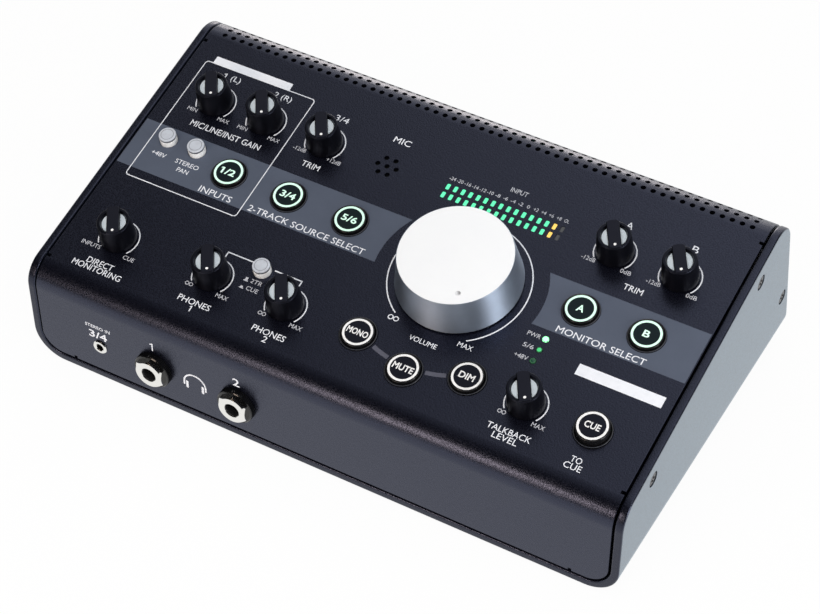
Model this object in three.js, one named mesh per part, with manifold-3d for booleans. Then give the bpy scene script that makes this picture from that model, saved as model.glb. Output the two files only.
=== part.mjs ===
// Studio monitor controller: a sloping desk-top box of folded sheet steel with one large volume
// knob, nine small knobs, nine lit push buttons, three plain push buttons, a two-row level meter,
// front headphone sockets and a rear socket panel.
// Millimetres. +X is the user's right, +Y is away from the user, +Z is up.

import * as THREE from "three";
import Module from "manifold-3d";
import { mergeGeometries, mergeVertices } from "three/addons/utils/BufferGeometryUtils.js";

const wasm = await Module();
wasm.setup();

const degrees = Math.PI / 180;
const flatness = 0.001;

// Housing: the side outline that both sheets follow
const housingWidth = 290;
const frontHeight = 50.2;
const topLength = 162.6;
const topSlope = 12.95 * degrees;
const rearLean = 11.8 * degrees;
const frontBendRadius = 12;
const rearBendRadius = 15;
const frontBendFacets = 4;
const rearBendFacets = 5;
const smallBendFacets = 3;

// Outer wrap: left side, bottom and right side in one thick sheet
const wrapWall = 3.9;
const wrapBendRadius = 15;

// Inner sheet: front, top and rear in one folded piece
const sheetWall = 1.6;
const seamGap = 0.8;
const flangeDepth = 16;
const flangeEndFront = 10;
const flangeEndRear = 18.3;
const bottomFlangeDepth = 12;
const bottomFlangeInset = 16.3;
const rearFlangeLow = 17;
const rearFlangeHigh = 62;
const notchWidth = 1.6;
const notchReach = 1.9;

// Vent holes round the rear bend, one row to a facet
const ventPitch = 4.65;
const ventMargin = 7.7;
const ventRows = 3;
const ventRadius = 1.45;

// Side screws and the countersinks that they lie in
const screwHeadRadius = 3.3;
const screwHeadDepth = 1.9;
const screwShankRadius = 1.5;
const screwLength = 9;
const screwRecessWidth = 0.8;
const screwRecessReach = 1.8;
const screwRecessDepth = 0.9;
const screwSink = 0.2;
const screwBelowTop = 9.6;
const screwFrontPlace = 26.1;
const screwRearInset = 31.4;
const screwFromRear = 6.7;
const screwRearHeight = 35.6;

// Feet
const footRadius = 7;
const footHeight = 3;
const footChamfer = 0.8;
const footInset = 26;
const footEdgeInset = 22;

// Clearances
const pieceGap = 0.3;
const runningGap = 0.03;
const runningPlay = 0.2;
const overrun = 2;

// Layout of the top panel: columns as shares of half the sheet's width, out from its middle
const columnShares = {
  plainFirst: -0.8838,
  farLeft: -0.8232,
  plainSecond: -0.7762,
  left: -0.6329,
  phonesFirst: -0.4768,
  line: -0.4127,
  plainLow: -0.345,
  phonesSecond: -0.2131,
  third: -0.1896,
  mic: -0.1875,
  mono: 0.0392,
  volume: 0.2252,
  dim: 0.4113,
  status: 0.5592,
  right: 0.6087,
  farRight: 0.8254,
};

// Layout of the top panel: rows as shares of its length, up the slope from its front corner
const rowShares = {
  mute: 0.1494,
  lower: 0.1925,
  functions: 0.1956,
  plainLow: 0.2632,
  status: 0.3124,
  volume: 0.4551,
  middle: 0.5006,
  plain: 0.5326,
  upper: 0.7005,
  mic: 0.7014,
  meter: 0.7097,
};

// Volume knob
const volumeRadius = 27.9;
const volumeTopRadius = 25.2;
const volumeHeight = 19.1;
const volumeEdge = 0.8;
const volumeWall = 2.6;
const volumeBossRadius = 6;
const volumeBossGap = 0.8;
const volumeGap = 0.9;
const dimpleRadius = 1.8;
const dimpleDepth = 0.7;
const dimpleReach = 19.7;
const pointerAngle = -59 * degrees;

// Small knobs
const knobRadius = 8.3;
const knobTopRadius = 7.35;
const knobRimRadius = 6;
const knobDishRadius = 5.4;
const knobHeight = 12.9;
const knobDish = 1.6;
const knobGap = 1.1;
const knobHollowRadius = 5;
const knobHollowTop = 3.6;
const gripWidth = 5.5;
const gripTop = 13.8;
const gripReach = 7.1;
const pipRadius = 0.7;
const pipDepth = 0.25;
const pipReach = 5.3;

// Potentiometers behind the knobs
const shaftRadius = 3;
const shaftDepth = 9;
const bushingWall = 0.8;
const bushingTop = 2.4;
const potWidth = 9.8;
const potTop = 5.2;
const volumeBushingWall = 1.6;
const volumeBushingTop = 4.6;
const volumePotWidth = 17;

// Lit push buttons
const capRadius = 7.3;
const capRise = 1.8;
const capTravel = 1.2;
const talkCapRise = 4;
const talkCapTravel = 2.5;
const capEdge = 0.35;
const collarWall = 0.85;
const collarRise = 0.5;

// Plain push buttons
const plainRadius = 4;
const plainRise = 4.3;
const plainTravel = 2.5;
const plainEdge = 0.5;

// Moulded frame that guides the lit buttons from under the panel
const frameWall = 1.6;
const frameMargin = 1.6;
const frameLinkWidth = 6;

// Level meter and status lights
const meterColumns = 16;
const meterPitch = 3.718;
const meterRowPitch = 4.65;
const lightWidth = 1.5;
const lightLength = 2.9;
const lightSink = 0.15;
const meterMargin = 2.4;
const statusPitch = 5.85;
const statusCount = 3;
const statusRadius = 1.45;
const statusRise = 0.3;

// Talkback microphone
const micRingRadius = 4.65;
const micHoleRadius = 1.25;
const micRadius = 6.4;

// Control board under the panel
const boardWall = 1.6;
const controlDrop = 14;
const controlFront = 14;
const controlRearInset = 34;
const controlSideInset = 8;
const switchWidth = 8;
const switchHeight = 5.4;

// Front sockets: columns as shares of half the sheet's width, heights up from the bottom of the wrap
const frontColumnShares = {
  mini: -0.7726,
  phones: [-0.5674, -0.263],
};
const miniY = 19.9;
const miniRadius = 3.5;
const miniHoleRadius = 1.8;
const miniRise = 0.8;
const miniBushingRadius = 3;
const miniBodyWidth = 9;
const miniBodyHeight = 7;
const miniBodyDepth = 14;
const miniFloor = 2;
const phonesY = 21.2;
const plugRadius = 3.45;
const phonesBushingRadius = 4.6;
const phonesBodyWidth = 15;
const phonesBodyHeight = 14;
const phonesBodyDepth = 24;
const phonesFloor = 2;
const nutFlats = 13.2;
const nutRise = 5.1;
const nutLipDepth = 0.8;
const nutChamfer = 1;
const nutFlangeRadius = 8.9;
const nutFlangeRise = 3;
const nutFlangeEdge = 0.4;
const nutMouthRadius = 3.6;

// Rear panel, seen from behind: columns as shares of half the sheet's width, heights up from its bottom edge
const rearColumnShares = {
  power: -0.7413,
  inlet: -0.5702,
  usb: -0.3421,
  lineQuad: -0.0071,
  linePair: 0.3015,
  combos: [0.7555, 0.5274],
};
const rearSocketY = 41;
const rearPairPitch = 24;
const comboRadius = 12;
const comboCupRadius = 9.8;
const comboCupDepth = 9;
const comboRise = 0.5;
const comboPins = 3;
const comboPinRadius = 1.1;
const comboPinReach = 6.4;
const comboBodyWidth = 25;
const quadPitch = 22;
const lineRadius = 5.6;
const lineRise = 1.2;
const lineBodyWidth = 14.5;
const plugDepth = 20;
const rearBodyDepth = 25;
const usbWidth = 12;
const usbHeight = 10.8;
const usbWall = 0.6;
const usbCorner = 2;
const usbMouthDepth = 9;
const usbTongueWidth = 5.6;
const usbTongueHeight = 3.2;
const usbTongueShort = 1.2;
const powerWidth = 8.4;
const powerRise = 3;
const powerDepth = 11;
const powerTravel = 2;
const powerSwitchWidth = 12;
const powerEdge = 0.6;
const inletRadius = 5.4;
const inletHoleRadius = 3.2;
const inletPinRadius = 1;
const inletHoleDepth = 9;
const inletPinShort = 1.2;
const inletRise = 0.6;
const inletBodyWidth = 14;

// Socket board behind the rear panel
const socketBoardInset = 16;
const socketBoardLow = 14;
const socketBoardHigh = 70;

// Numbers of flat sides on turned shapes
const ventSides = 4;
const tinySides = 6;
const coarseSides = 12;
const mediumSides = 16;
const fineSides = 20;
const smoothSides = 40;

// Places that follow from the sizes above
const housingHalf = housingWidth / 2;
const sheetHalf = housingHalf - wrapWall - seamGap;
const sheetBottom = wrapWall + seamGap;
const sheetCornerRadius = wrapBendRadius - sheetBottom;
const rearTopY = topLength * Math.cos(topSlope);
const rearTopZ = frontHeight + topLength * Math.sin(topSlope);
const bottomDepth = rearTopY + rearTopZ * Math.tan(rearLean);
const rearLength = rearTopZ / Math.cos(rearLean);
const panelUnder = -sheetWall - pieceGap;
const frameUnder = panelUnder - frameWall;
const rearInside = -sheetWall - pieceGap;
const flangeRear = topLength - flangeEndRear;
const bottomFlangeHalf = sheetHalf - bottomFlangeInset;
const columns = placed(columnShares, sheetHalf);
const rows = placed(rowShares, topLength);
const volumeX = columns.volume;
const volumeY = rows.volume;
const statusX = columns.status;
const micX = columns.mic;
const miniX = frontColumnShares.mini * sheetHalf;
const phonesX = frontColumnShares.phones.map((share) => share * sheetHalf);
const comboX = rearColumnShares.combos.map((share) => share * sheetHalf);
const linePairX = rearColumnShares.linePair * sheetHalf;
const quadX = rearColumnShares.lineQuad * sheetHalf;
const lineQuadX = [quadX + quadPitch / 2, quadX - quadPitch / 2];
const usbX = rearColumnShares.usb * sheetHalf;
const powerX = rearColumnShares.power * sheetHalf;
const inletX = rearColumnShares.inlet * sheetHalf;
const meterFirstX = volumeX - (meterColumns - 1) * meterPitch / 2;
const meterUpperRow = rows.meter;
const rearBendTurn = Math.PI / 2 + topSlope - rearLean;
const collarRadius = capRadius + runningPlay + collarWall;
const volumeBossFoot = volumeBushingTop + volumeBossGap;
const phonesBushingRise = nutRise - nutLipDepth - pieceGap;

// Places from a table of shares of one size
function placed(shares, size) {
  return Object.fromEntries(Object.entries(shares).map(([name, share]) => [name, share * size]));
}

const axisX = new THREE.Vector3(1, 0, 0);
const axisY = new THREE.Vector3(0, 1, 0);
const axisZ = new THREE.Vector3(0, 0, 1);

// Nested frames: each panel has its own group, with X across it, Y up it and Z out of it
const controller = new THREE.Group();
const housing = new THREE.Group();
housing.position.set(0, (nutRise - bottomDepth) / 2, footHeight);
controller.add(housing);
const topPanel = new THREE.Group();
topPanel.position.set(0, 0, frontHeight);
topPanel.rotation.x = topSlope;
const frontPanel = new THREE.Group();
frontPanel.rotation.x = Math.PI / 2;
const rearPanel = new THREE.Group();
rearPanel.position.set(0, bottomDepth, 0);
rearPanel.rotation.set(rearLean - Math.PI / 2, 0, Math.PI);
housing.add(topPanel, frontPanel, rearPanel);
for (const panel of [topPanel, frontPanel, rearPanel]) {
  panel.updateMatrix();
}

// Solids: three.js geometry in and out of the boolean library
function solidOf(geometry) {
  const bare = geometry.clone();
  bare.deleteAttribute("normal");
  bare.deleteAttribute("uv");
  const merged = mergeVertices(bare);
  return new wasm.Manifold(new wasm.Mesh({
    numProp: 3,
    vertProperties: new Float32Array(merged.attributes.position.array),
    triVerts: new Uint32Array(merged.index.array),
    tolerance: flatness,
  }));
}

function geometryOf(solid) {
  const mesh = solid.getMesh();
  const geometry = new THREE.BufferGeometry();
  geometry.setAttribute("position", new THREE.BufferAttribute(mesh.vertProperties, 3));
  geometry.setIndex(new THREE.BufferAttribute(mesh.triVerts, 1));
  geometry.computeVertexNormals();
  return geometry;
}

function joined(...geometries) {
  return geometryOf(geometries.map(solidOf).reduce((whole, piece) => whole.add(piece)));
}

function cut(geometry, ...cutters) {
  return geometryOf(cutters.map(solidOf).reduce((rest, cutter) => rest.subtract(cutter), solidOf(geometry)));
}

function shared(first, second) {
  return geometryOf(solidOf(first).intersect(solidOf(second)));
}

// Separate cutters that never meet, taken as one
function together(geometries) {
  return mergeGeometries(geometries.map((geometry) => {
    const bare = geometry.index ? geometry.toNonIndexed() : geometry.clone();
    bare.deleteAttribute("normal");
    bare.deleteAttribute("uv");
    return bare;
  }));
}

// Plain shapes, all placed by their real limits
function block(left, right, front, back, low, high) {
  const box = new THREE.BoxGeometry(right - left, back - front, high - low);
  return box.translate((left + right) / 2, (front + back) / 2, (low + high) / 2);
}

function rod(radius, low, high, sides = mediumSides) {
  const cylinder = new THREE.CylinderGeometry(radius, radius, high - low, sides);
  return cylinder.rotateX(Math.PI / 2).translate(0, 0, (low + high) / 2);
}

function turned(profile, sides = fineSides) {
  const points = profile.map(([radius, height]) => new THREE.Vector2(radius, height));
  return new THREE.LatheGeometry(points, sides).rotateX(Math.PI / 2);
}

function at(geometry, x, y) {
  return geometry.clone().translate(x, y, 0);
}

// Outline with rounded corners, each given by its point, radius and number of facets
function corner(x, y, radius = 0, facets = 1) {
  return { point: new THREE.Vector2(x, y), radius, facets };
}

function roundedOutline(corners) {
  const points = [];
  corners.forEach(({ point, radius, facets }, index) => {
    if (radius === 0) {
      points.push(point);
      return;
    }
    const before = corners[(index + corners.length - 1) % corners.length].point;
    const after = corners[(index + 1) % corners.length].point;
    const inward = before.clone().sub(point).normalize();
    const onward = after.clone().sub(point).normalize();
    const halfAngle = Math.acos(inward.dot(onward)) / 2;
    const bisector = inward.clone().add(onward).normalize();
    const centre = point.clone().addScaledVector(bisector, radius / Math.sin(halfAngle));
    const start = point.clone().addScaledVector(inward, radius / Math.tan(halfAngle));
    const turn = (Math.PI - halfAngle * 2) * Math.sign(onward.cross(inward));
    for (let step = 0; step <= facets; step += 1) {
      points.push(start.clone().rotateAround(centre, turn * step / facets));
    }
  });
  return new THREE.Shape(points);
}

function extruded(outline, depth) {
  return new THREE.ExtrudeGeometry(outline, { depth, bevelEnabled: false });
}

// The side outline, drawn in Y and Z and drawn in from the outer face by an inset
function sideOutline(inset, bottom) {
  const slopeDrop = inset / Math.cos(topSlope);
  const frontZ = frontHeight + inset * Math.tan(topSlope) - slopeDrop;
  const leanDrop = inset / Math.cos(rearLean);
  const rise = Math.tan(topSlope);
  const lean = Math.tan(rearLean);
  const rearY = (bottomDepth - leanDrop - lean * (frontHeight - slopeDrop)) / (1 + lean * rise);
  const rearZ = frontHeight - slopeDrop + rearY * rise;
  return roundedOutline([
    corner(inset, bottom),
    corner(bottomDepth - leanDrop - bottom * lean, bottom),
    corner(rearY, rearZ, rearBendRadius - inset, rearBendFacets),
    corner(inset, frontZ, frontBendRadius - inset, frontBendFacets),
  ]);
}

function sidePrism(inset, half, bottom) {
  const prism = extruded(sideOutline(inset, bottom), half * 2);
  prism.applyMatrix4(new THREE.Matrix4().makeBasis(axisY, axisZ, axisX));
  return prism.translate(-half, 0, 0);
}

// A solid drawn from the front in X and Z, running through the whole depth
function depthPrism(outline) {
  const prism = extruded(outline, bottomDepth + overrun * 2);
  prism.applyMatrix4(new THREE.Matrix4().makeBasis(axisX, axisZ, axisY.clone().negate()));
  return prism.translate(0, bottomDepth + overrun, 0);
}

function bucketOutline(half, bottom, radius) {
  const high = rearTopZ + overrun;
  return roundedOutline([
    corner(-half, bottom, radius, smallBendFacets),
    corner(half, bottom, radius, smallBendFacets),
    corner(half, high),
    corner(-half, high),
  ]);
}

// Side screws: their places in Y and Z on the wrap's sides
function onTopPanel(y, z) {
  return new THREE.Vector3(0, y, z).applyMatrix4(topPanel.matrix);
}

function onRearPanel(y, z) {
  return new THREE.Vector3(0, y, z).applyMatrix4(rearPanel.matrix);
}

const screwPlaces = [
  onTopPanel(screwFrontPlace, -screwBelowTop),
  onTopPanel(topLength - screwRearInset, -screwBelowTop),
  onRearPanel(screwRearHeight, -screwFromRear),
];

function turnedToSide(geometry, side, place) {
  const facing = geometry.clone().rotateY(side * Math.PI / 2);
  return facing.translate(side * housingHalf, place.y, place.z);
}

function countersink() {
  const wide = screwHeadRadius + pieceGap;
  const narrow = screwShankRadius + pieceGap;
  return turned([
    [0, -wrapWall - overrun],
    [narrow, -wrapWall - overrun],
    [narrow, -screwHeadDepth - pieceGap],
    [wide, -screwSink - pieceGap * 2],
    [wide, overrun],
    [0, overrun],
  ], coarseSides);
}

function sideScrew() {
  const head = turned([
    [0, -screwLength],
    [screwShankRadius, -screwLength],
    [screwShankRadius, -screwHeadDepth - screwSink],
    [screwHeadRadius, -screwSink - pieceGap],
    [screwHeadRadius, -screwSink],
    [0, -screwSink],
  ], coarseSides);
  const half = screwRecessWidth / 2;
  const floor = -screwSink - screwRecessDepth;
  const across = block(-screwRecessReach, screwRecessReach, -half, half, floor, overrun);
  const along = block(-half, half, -screwRecessReach, screwRecessReach, floor, overrun);
  return cut(head, joined(across, along));
}

// Outer wrap
function outerWrap() {
  const outside = depthPrism(bucketOutline(housingHalf, 0, wrapBendRadius));
  const inside = depthPrism(bucketOutline(housingHalf - wrapWall, wrapWall, wrapBendRadius - wrapWall));
  const sink = countersink();
  const sinks = [-1, 1].flatMap((side) => screwPlaces.map((place) => turnedToSide(sink, side, place)));
  return cut(shared(sidePrism(0, housingHalf, 0), cut(outside, inside)), together(sinks));
}

// Inner sheet with its flanges, notches, vents and panel holes
function ventCutter() {
  const centre = onTopPanel(topLength - rearBendRadius * Math.tan(rearBendTurn / 2), -rearBendRadius);
  const columns = Math.floor((sheetHalf - ventMargin) * 2 / ventPitch) + 1;
  const pin = rod(ventRadius, rearBendRadius - sheetWall * 2, rearBendRadius + overrun, ventSides);
  const pins = [];
  for (let row = 0; row < ventRows; row += 1) {
    const turn = topSlope - (row + 0.5) * rearBendTurn / rearBendFacets;
    for (let column = 0; column < columns; column += 1) {
      const x = (column - (columns - 1) / 2) * ventPitch;
      pins.push(pin.clone().rotateX(turn).translate(x, centre.y, centre.z));
    }
  }
  return together(pins);
}

// A bore whose flat sides, not its corners, lie at the given radius
function bore(radius, low, high, sides) {
  return rod(radius / Math.cos(Math.PI / sides), low, high, sides);
}

function throughSheet(radius, sides) {
  return rod(radius, -sheetWall - overrun, overrun, sides);
}

const smallKnobs = {
  gain_1: [columns.farLeft, rows.upper],
  gain_2: [columns.left, rows.upper],
  line_trim: [columns.line, rows.upper],
  trim_a: [columns.right, rows.upper],
  trim_b: [columns.farRight, rows.upper],
  direct_mix: [columns.farLeft, rows.lower],
  phones_1: [columns.phonesFirst, rows.lower],
  phones_2: [columns.phonesSecond, rows.lower],
  talkback_level: [columns.right, rows.lower],
};

const litButtons = {
  source_1: [columns.left, rows.middle],
  source_2: [columns.line, rows.middle],
  source_3: [columns.third, rows.middle],
  monitor_a: [columns.right, rows.middle],
  monitor_b: [columns.farRight, rows.middle],
  mono: [columns.mono, rows.functions],
  mute: [columns.volume, rows.mute],
  dim: [columns.dim, rows.functions],
  talkback: [columns.farRight, rows.lower],
};

const plainButtons = {
  phantom: [columns.plainFirst, rows.plain],
  pan: [columns.plainSecond, rows.plain],
  phones_source: [columns.plainLow, rows.plainLow],
};

const statusRows = Array.from({ length: statusCount }, (_, index) => rows.status + index * statusPitch);

function meterPlaces() {
  const places = [];
  for (let column = 0; column < meterColumns; column += 1) {
    for (let row = 0; row < 2; row += 1) {
      places.push([meterFirstX + column * meterPitch, meterUpperRow - row * meterRowPitch]);
    }
  }
  return places;
}

function micPlaces() {
  const places = [[micX, rows.mic]];
  for (let index = 0; index < 6; index += 1) {
    const angle = index * Math.PI / 3;
    places.push([micX + micRingRadius * Math.cos(angle), rows.mic + micRingRadius * Math.sin(angle)]);
  }
  return places;
}

function topHoles() {
  const bushingHole = throughSheet(shaftRadius + runningGap + bushingWall + pieceGap, coarseSides);
  const volumeHole = throughSheet(shaftRadius + runningGap + volumeBushingWall + pieceGap, mediumSides);
  const collarHole = throughSheet(collarRadius + pieceGap, mediumSides);
  const plainHole = throughSheet(plainRadius + pieceGap, mediumSides);
  const micHole = throughSheet(micHoleRadius, tinySides);
  const statusHole = throughSheet(statusRadius + pieceGap, tinySides);
  const halfWidth = lightWidth / 2 + pieceGap / 2;
  const halfLength = lightLength / 2 + pieceGap / 2;
  const lightHole = block(-halfWidth, halfWidth, -halfLength, halfLength, -sheetWall - overrun, overrun);
  const holes = [
    ...Object.values(smallKnobs).map(([x, y]) => at(bushingHole, x, y)),
    ...Object.values(litButtons).map(([x, y]) => at(collarHole, x, y)),
    ...Object.values(plainButtons).map(([x, y]) => at(plainHole, x, y)),
    ...meterPlaces().map(([x, y]) => at(lightHole, x, y)),
    ...micPlaces().map(([x, y]) => at(micHole, x, y)),
    ...statusRows.map((y) => at(statusHole, statusX, y)),
    at(volumeHole, volumeX, volumeY),
  ];
  return together(holes).applyMatrix4(topPanel.matrix);
}

function frontHoles() {
  const phonesHole = throughSheet(phonesBushingRadius + pieceGap, mediumSides);
  const miniHole = throughSheet(miniBushingRadius + pieceGap, coarseSides);
  const holes = [at(miniHole, miniX, miniY), ...phonesX.map((x) => at(phonesHole, x, phonesY))];
  return together(holes).applyMatrix4(frontPanel.matrix);
}

function linePlaces() {
  const heights = [rearSocketY - rearPairPitch / 2, rearSocketY + rearPairPitch / 2];
  return [linePairX, ...lineQuadX].flatMap((x) => heights.map((y) => [x, y]));
}

function usbOutline(grow) {
  const half = usbWidth / 2 + grow;
  const high = usbHeight / 2 + grow;
  return roundedOutline([
    corner(-half, -high),
    corner(half, -high),
    corner(half, high - usbCorner),
    corner(half - usbCorner, high),
    corner(usbCorner - half, high),
    corner(-half, high - usbCorner),
  ]);
}

function rearHoles() {
  const comboHole = throughSheet(comboRadius + pieceGap, fineSides);
  const lineHole = throughSheet(lineRadius + pieceGap, coarseSides);
  const inletHole = throughSheet(inletRadius + pieceGap, coarseSides);
  const usbHole = extruded(usbOutline(pieceGap), sheetWall + overrun * 2);
  usbHole.translate(0, 0, -sheetWall - overrun);
  const half = powerWidth / 2 + pieceGap;
  const powerHole = block(-half, half, -half, half, -sheetWall - overrun, overrun);
  const holes = [
    ...comboX.map((x) => at(comboHole, x, rearSocketY)),
    ...linePlaces().map(([x, y]) => at(lineHole, x, y)),
    at(inletHole, inletX, rearSocketY),
    at(usbHole, usbX, rearSocketY),
    at(powerHole, powerX, rearSocketY),
  ];
  return together(holes).applyMatrix4(rearPanel.matrix);
}

function flanges() {
  const inWall = -sheetWall / 2;
  const pieces = [];
  for (const side of [-1, 1]) {
    const near = side * (sheetHalf - sheetWall);
    const far = side * sheetHalf;
    const low = Math.min(near, far);
    const high = Math.max(near, far);
    const front = flangeEndFront + notchWidth;
    const top = block(low, high, front, flangeRear - notchWidth, -flangeDepth, inWall);
    const rear = block(low, high, rearFlangeLow, rearFlangeHigh, -flangeDepth, inWall);
    pieces.push(top.applyMatrix4(topPanel.matrix), rear.applyMatrix4(rearPanel.matrix));
  }
  const half = bottomFlangeHalf - notchWidth;
  const upper = sheetBottom + sheetWall;
  const back = bottomDepth - upper * Math.tan(rearLean) + inWall;
  pieces.push(
    block(-half, half, -inWall, bottomFlangeDepth, sheetBottom, upper),
    block(-half, half, back - bottomFlangeDepth, back, sheetBottom, upper),
  );
  return together(pieces);
}

function notches() {
  const cutters = [];
  for (const side of [-1, 1]) {
    for (const start of [flangeEndFront, flangeRear - notchWidth]) {
      const edge = side * sheetHalf;
      const low = Math.min(edge - side * notchReach, edge + side * overrun);
      const high = Math.max(edge - side * notchReach, edge + side * overrun);
      const notch = block(low, high, start, start + notchWidth, -flangeDepth, overrun);
      cutters.push(notch.applyMatrix4(topPanel.matrix));
    }
    const left = Math.min(side * bottomFlangeHalf, side * (bottomFlangeHalf - notchWidth));
    const top = sheetBottom + notchReach;
    for (const panel of [frontPanel, rearPanel]) {
      const under = -sheetWall - overrun;
      const notch = block(left, left + notchWidth, sheetBottom - overrun, top, under, overrun);
      cutters.push(notch.applyMatrix4(panel.matrix));
    }
  }
  return together(cutters);
}

function flangeScrewHoles() {
  const hole = rod(screwShankRadius + pieceGap, -screwLength, overrun, coarseSides);
  return together([-1, 1].flatMap((side) => screwPlaces.map((place) => turnedToSide(hole, side, place))));
}

function innerSheet() {
  const hollow = sidePrism(sheetWall, sheetHalf + overrun, -overrun);
  const folded = cut(sidePrism(0, sheetHalf, 0), hollow);
  const cornered = shared(folded, depthPrism(bucketOutline(sheetHalf, sheetBottom, sheetCornerRadius)));
  const flanged = joined(cornered, flanges());
  return cut(flanged, notches(), flangeScrewHoles(), topHoles(), frontHoles(), rearHoles(), ventCutter());
}

// Feet
function foot() {
  return turned([
    [0, -footHeight],
    [footRadius - footChamfer, -footHeight],
    [footRadius, footChamfer - footHeight],
    [footRadius, 0],
    [0, 0],
  ], mediumSides);
}

// Volume knob with its shaft
function volumeKnob() {
  const ceiling = volumeHeight - volumeWall;
  const body = turned([
    [0, -shaftDepth],
    [shaftRadius, -shaftDepth],
    [shaftRadius, volumeBossFoot],
    [volumeBossRadius, volumeBossFoot],
    [volumeBossRadius, ceiling],
    [volumeTopRadius - volumeWall, ceiling],
    [volumeRadius - volumeWall, volumeGap],
    [volumeRadius, volumeGap],
    [volumeTopRadius, volumeHeight - volumeEdge],
    [volumeTopRadius - volumeEdge, volumeHeight],
    [0, volumeHeight],
  ], smoothSides);
  const dimple = new THREE.ConeGeometry(dimpleRadius, dimpleDepth * 2, coarseSides).rotateX(-Math.PI / 2);
  const x = dimpleReach * Math.cos(pointerAngle);
  const y = dimpleReach * Math.sin(pointerAngle);
  return cut(body, dimple.translate(x, y, volumeHeight));
}

// Small knob with its shaft, two dished lands and the raised grip between them
function smallKnob() {
  const dish = knobHeight - knobDish;
  const body = turned([
    [0, -shaftDepth],
    [shaftRadius, -shaftDepth],
    [shaftRadius, knobHollowTop],
    [knobHollowRadius, knobHollowTop],
    [knobHollowRadius, knobGap],
    [knobRadius, knobGap],
    [knobTopRadius, knobHeight],
    [knobRimRadius, knobHeight],
    [knobDishRadius, dish],
    [0, dish],
  ], mediumSides);
  const half = gripWidth / 2;
  const bar = block(-knobRadius, knobRadius, -half, half, dish - knobDish, gripTop);
  const grip = shared(bar, rod(gripReach, dish - knobDish, gripTop, mediumSides));
  const pip = at(rod(pipRadius, gripTop - pipDepth, gripTop + overrun, tinySides), pipReach, 0);
  return cut(joined(body, grip), pip).rotateZ(pointerAngle);
}

// Potentiometer: a square body and a bushing that the shaft runs in
function potentiometer(width, wall, top) {
  const half = width / 2;
  const base = pieceGap - controlDrop;
  const outer = shaftRadius + runningGap + wall;
  const body = block(-half, half, -half, half, base, -potTop);
  const bushing = rod(outer, base, top, coarseSides);
  const hole = bore(shaftRadius + runningGap, -shaftDepth - pieceGap, top + overrun, mediumSides);
  return cut(joined(body, bushing), hole);
}

// Lit button cap
function litCap(rise, travel) {
  return turned([
    [0, pieceGap - controlDrop + switchHeight + travel],
    [capRadius, pieceGap - controlDrop + switchHeight + travel],
    [capRadius, rise - capEdge],
    [capRadius - capEdge, rise],
    [0, rise],
  ], mediumSides);
}

function plainCap() {
  return turned([
    [0, pieceGap - controlDrop + switchHeight + plainTravel],
    [plainRadius, pieceGap - controlDrop + switchHeight + plainTravel],
    [plainRadius, plainRise - plainEdge],
    [plainRadius - plainEdge, plainRise],
    [0, plainRise],
  ], mediumSides);
}

// Moulded frame with a collar round each lit button
function buttonFrame() {
  const reach = collarRadius + frameMargin;
  const left = columns.left - reach;
  const right = columns.farRight + reach;
  const [monoX, monoY] = litButtons.mono;
  const [dimX] = litButtons.dim;
  const lowest = rows.mute - reach;
  const rowBand = block(left, right, rows.middle - reach, rows.middle + reach, frameUnder, panelUnder);
  const rightBand = block(columns.farRight - reach, right, lowest, rows.middle, frameUnder, panelUnder);
  const linkBand = block(monoX - reach, right, lowest, lowest + frameLinkWidth, frameUnder, panelUnder);
  const lowBand = block(monoX - reach, dimX + reach, lowest, monoY + reach, frameUnder, panelUnder);
  const plate = joined(rowBand, rightBand, linkBand, lowBand);
  const potHalf = volumePotWidth / 2 + pieceGap;
  const potNotch = block(volumeX - potHalf, volumeX + potHalf, volumeY - potHalf, volumeY + potHalf,
    frameUnder - overrun, overrun);
  const places = Object.values(litButtons);
  const collar = rod(collarRadius, frameUnder, collarRise, mediumSides);
  const collars = together(places.map(([x, y]) => at(collar, x, y)));
  const hole = bore(capRadius + runningPlay, frameUnder - overrun, collarRise + overrun, mediumSides);
  return cut(joined(cut(plate, potNotch), collars), together(places.map(([x, y]) => at(hole, x, y))));
}

// Level meter: a light block on the control board, with windows that reach up into the panel's slots
function levelMeter() {
  const places = meterPlaces();
  const left = meterFirstX - meterMargin;
  const right = meterFirstX + (meterColumns - 1) * meterPitch + meterMargin;
  const low = meterUpperRow - meterRowPitch - meterMargin;
  const base = block(left, right, low, meterUpperRow + meterMargin, pieceGap - controlDrop, panelUnder);
  const half = lightWidth / 2;
  const reach = lightLength / 2;
  const light = block(-half, half, -reach, reach, panelUnder - overrun, -lightSink);
  return joined(base, together(places.map(([x, y]) => at(light, x, y))));
}

// Control board with the parts that are soldered to it: button switches, status lights, microphone
function controlBoard() {
  const half = sheetHalf - controlSideInset;
  const base = -controlDrop - boardWall / 2;
  const rear = topLength - controlRearInset;
  const board = block(-half, half, controlFront, rear, -controlDrop - boardWall, -controlDrop);
  const edge = switchWidth / 2;
  const switchBody = block(-edge, edge, -edge, edge, base, switchHeight - controlDrop);
  const parts = [
    ...Object.values(litButtons).map(([x, y]) => at(switchBody, x, y)),
    ...Object.values(plainButtons).map(([x, y]) => at(switchBody, x, y)),
    ...statusRows.map((y) => at(rod(statusRadius, base, statusRise, tinySides), statusX, y)),
    at(rod(micRadius, base, panelUnder, coarseSides), micX, rows.mic),
  ];
  return joined(board, together(parts));
}

// Front sockets
function miniSocket() {
  const halfWidth = miniBodyWidth / 2;
  const halfHeight = miniBodyHeight / 2;
  const body = block(-halfWidth, halfWidth, -halfHeight, halfHeight, -miniBodyDepth, -sheetWall - pieceGap);
  const bushing = rod(miniBushingRadius, -miniBodyDepth / 2, miniRise, coarseSides);
  const flange = rod(miniRadius, pieceGap, miniRise, coarseSides);
  const hole = rod(miniHoleRadius, miniFloor - miniBodyDepth, miniRise + overrun, coarseSides);
  return cut(joined(body, bushing, flange), hole);
}

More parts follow.
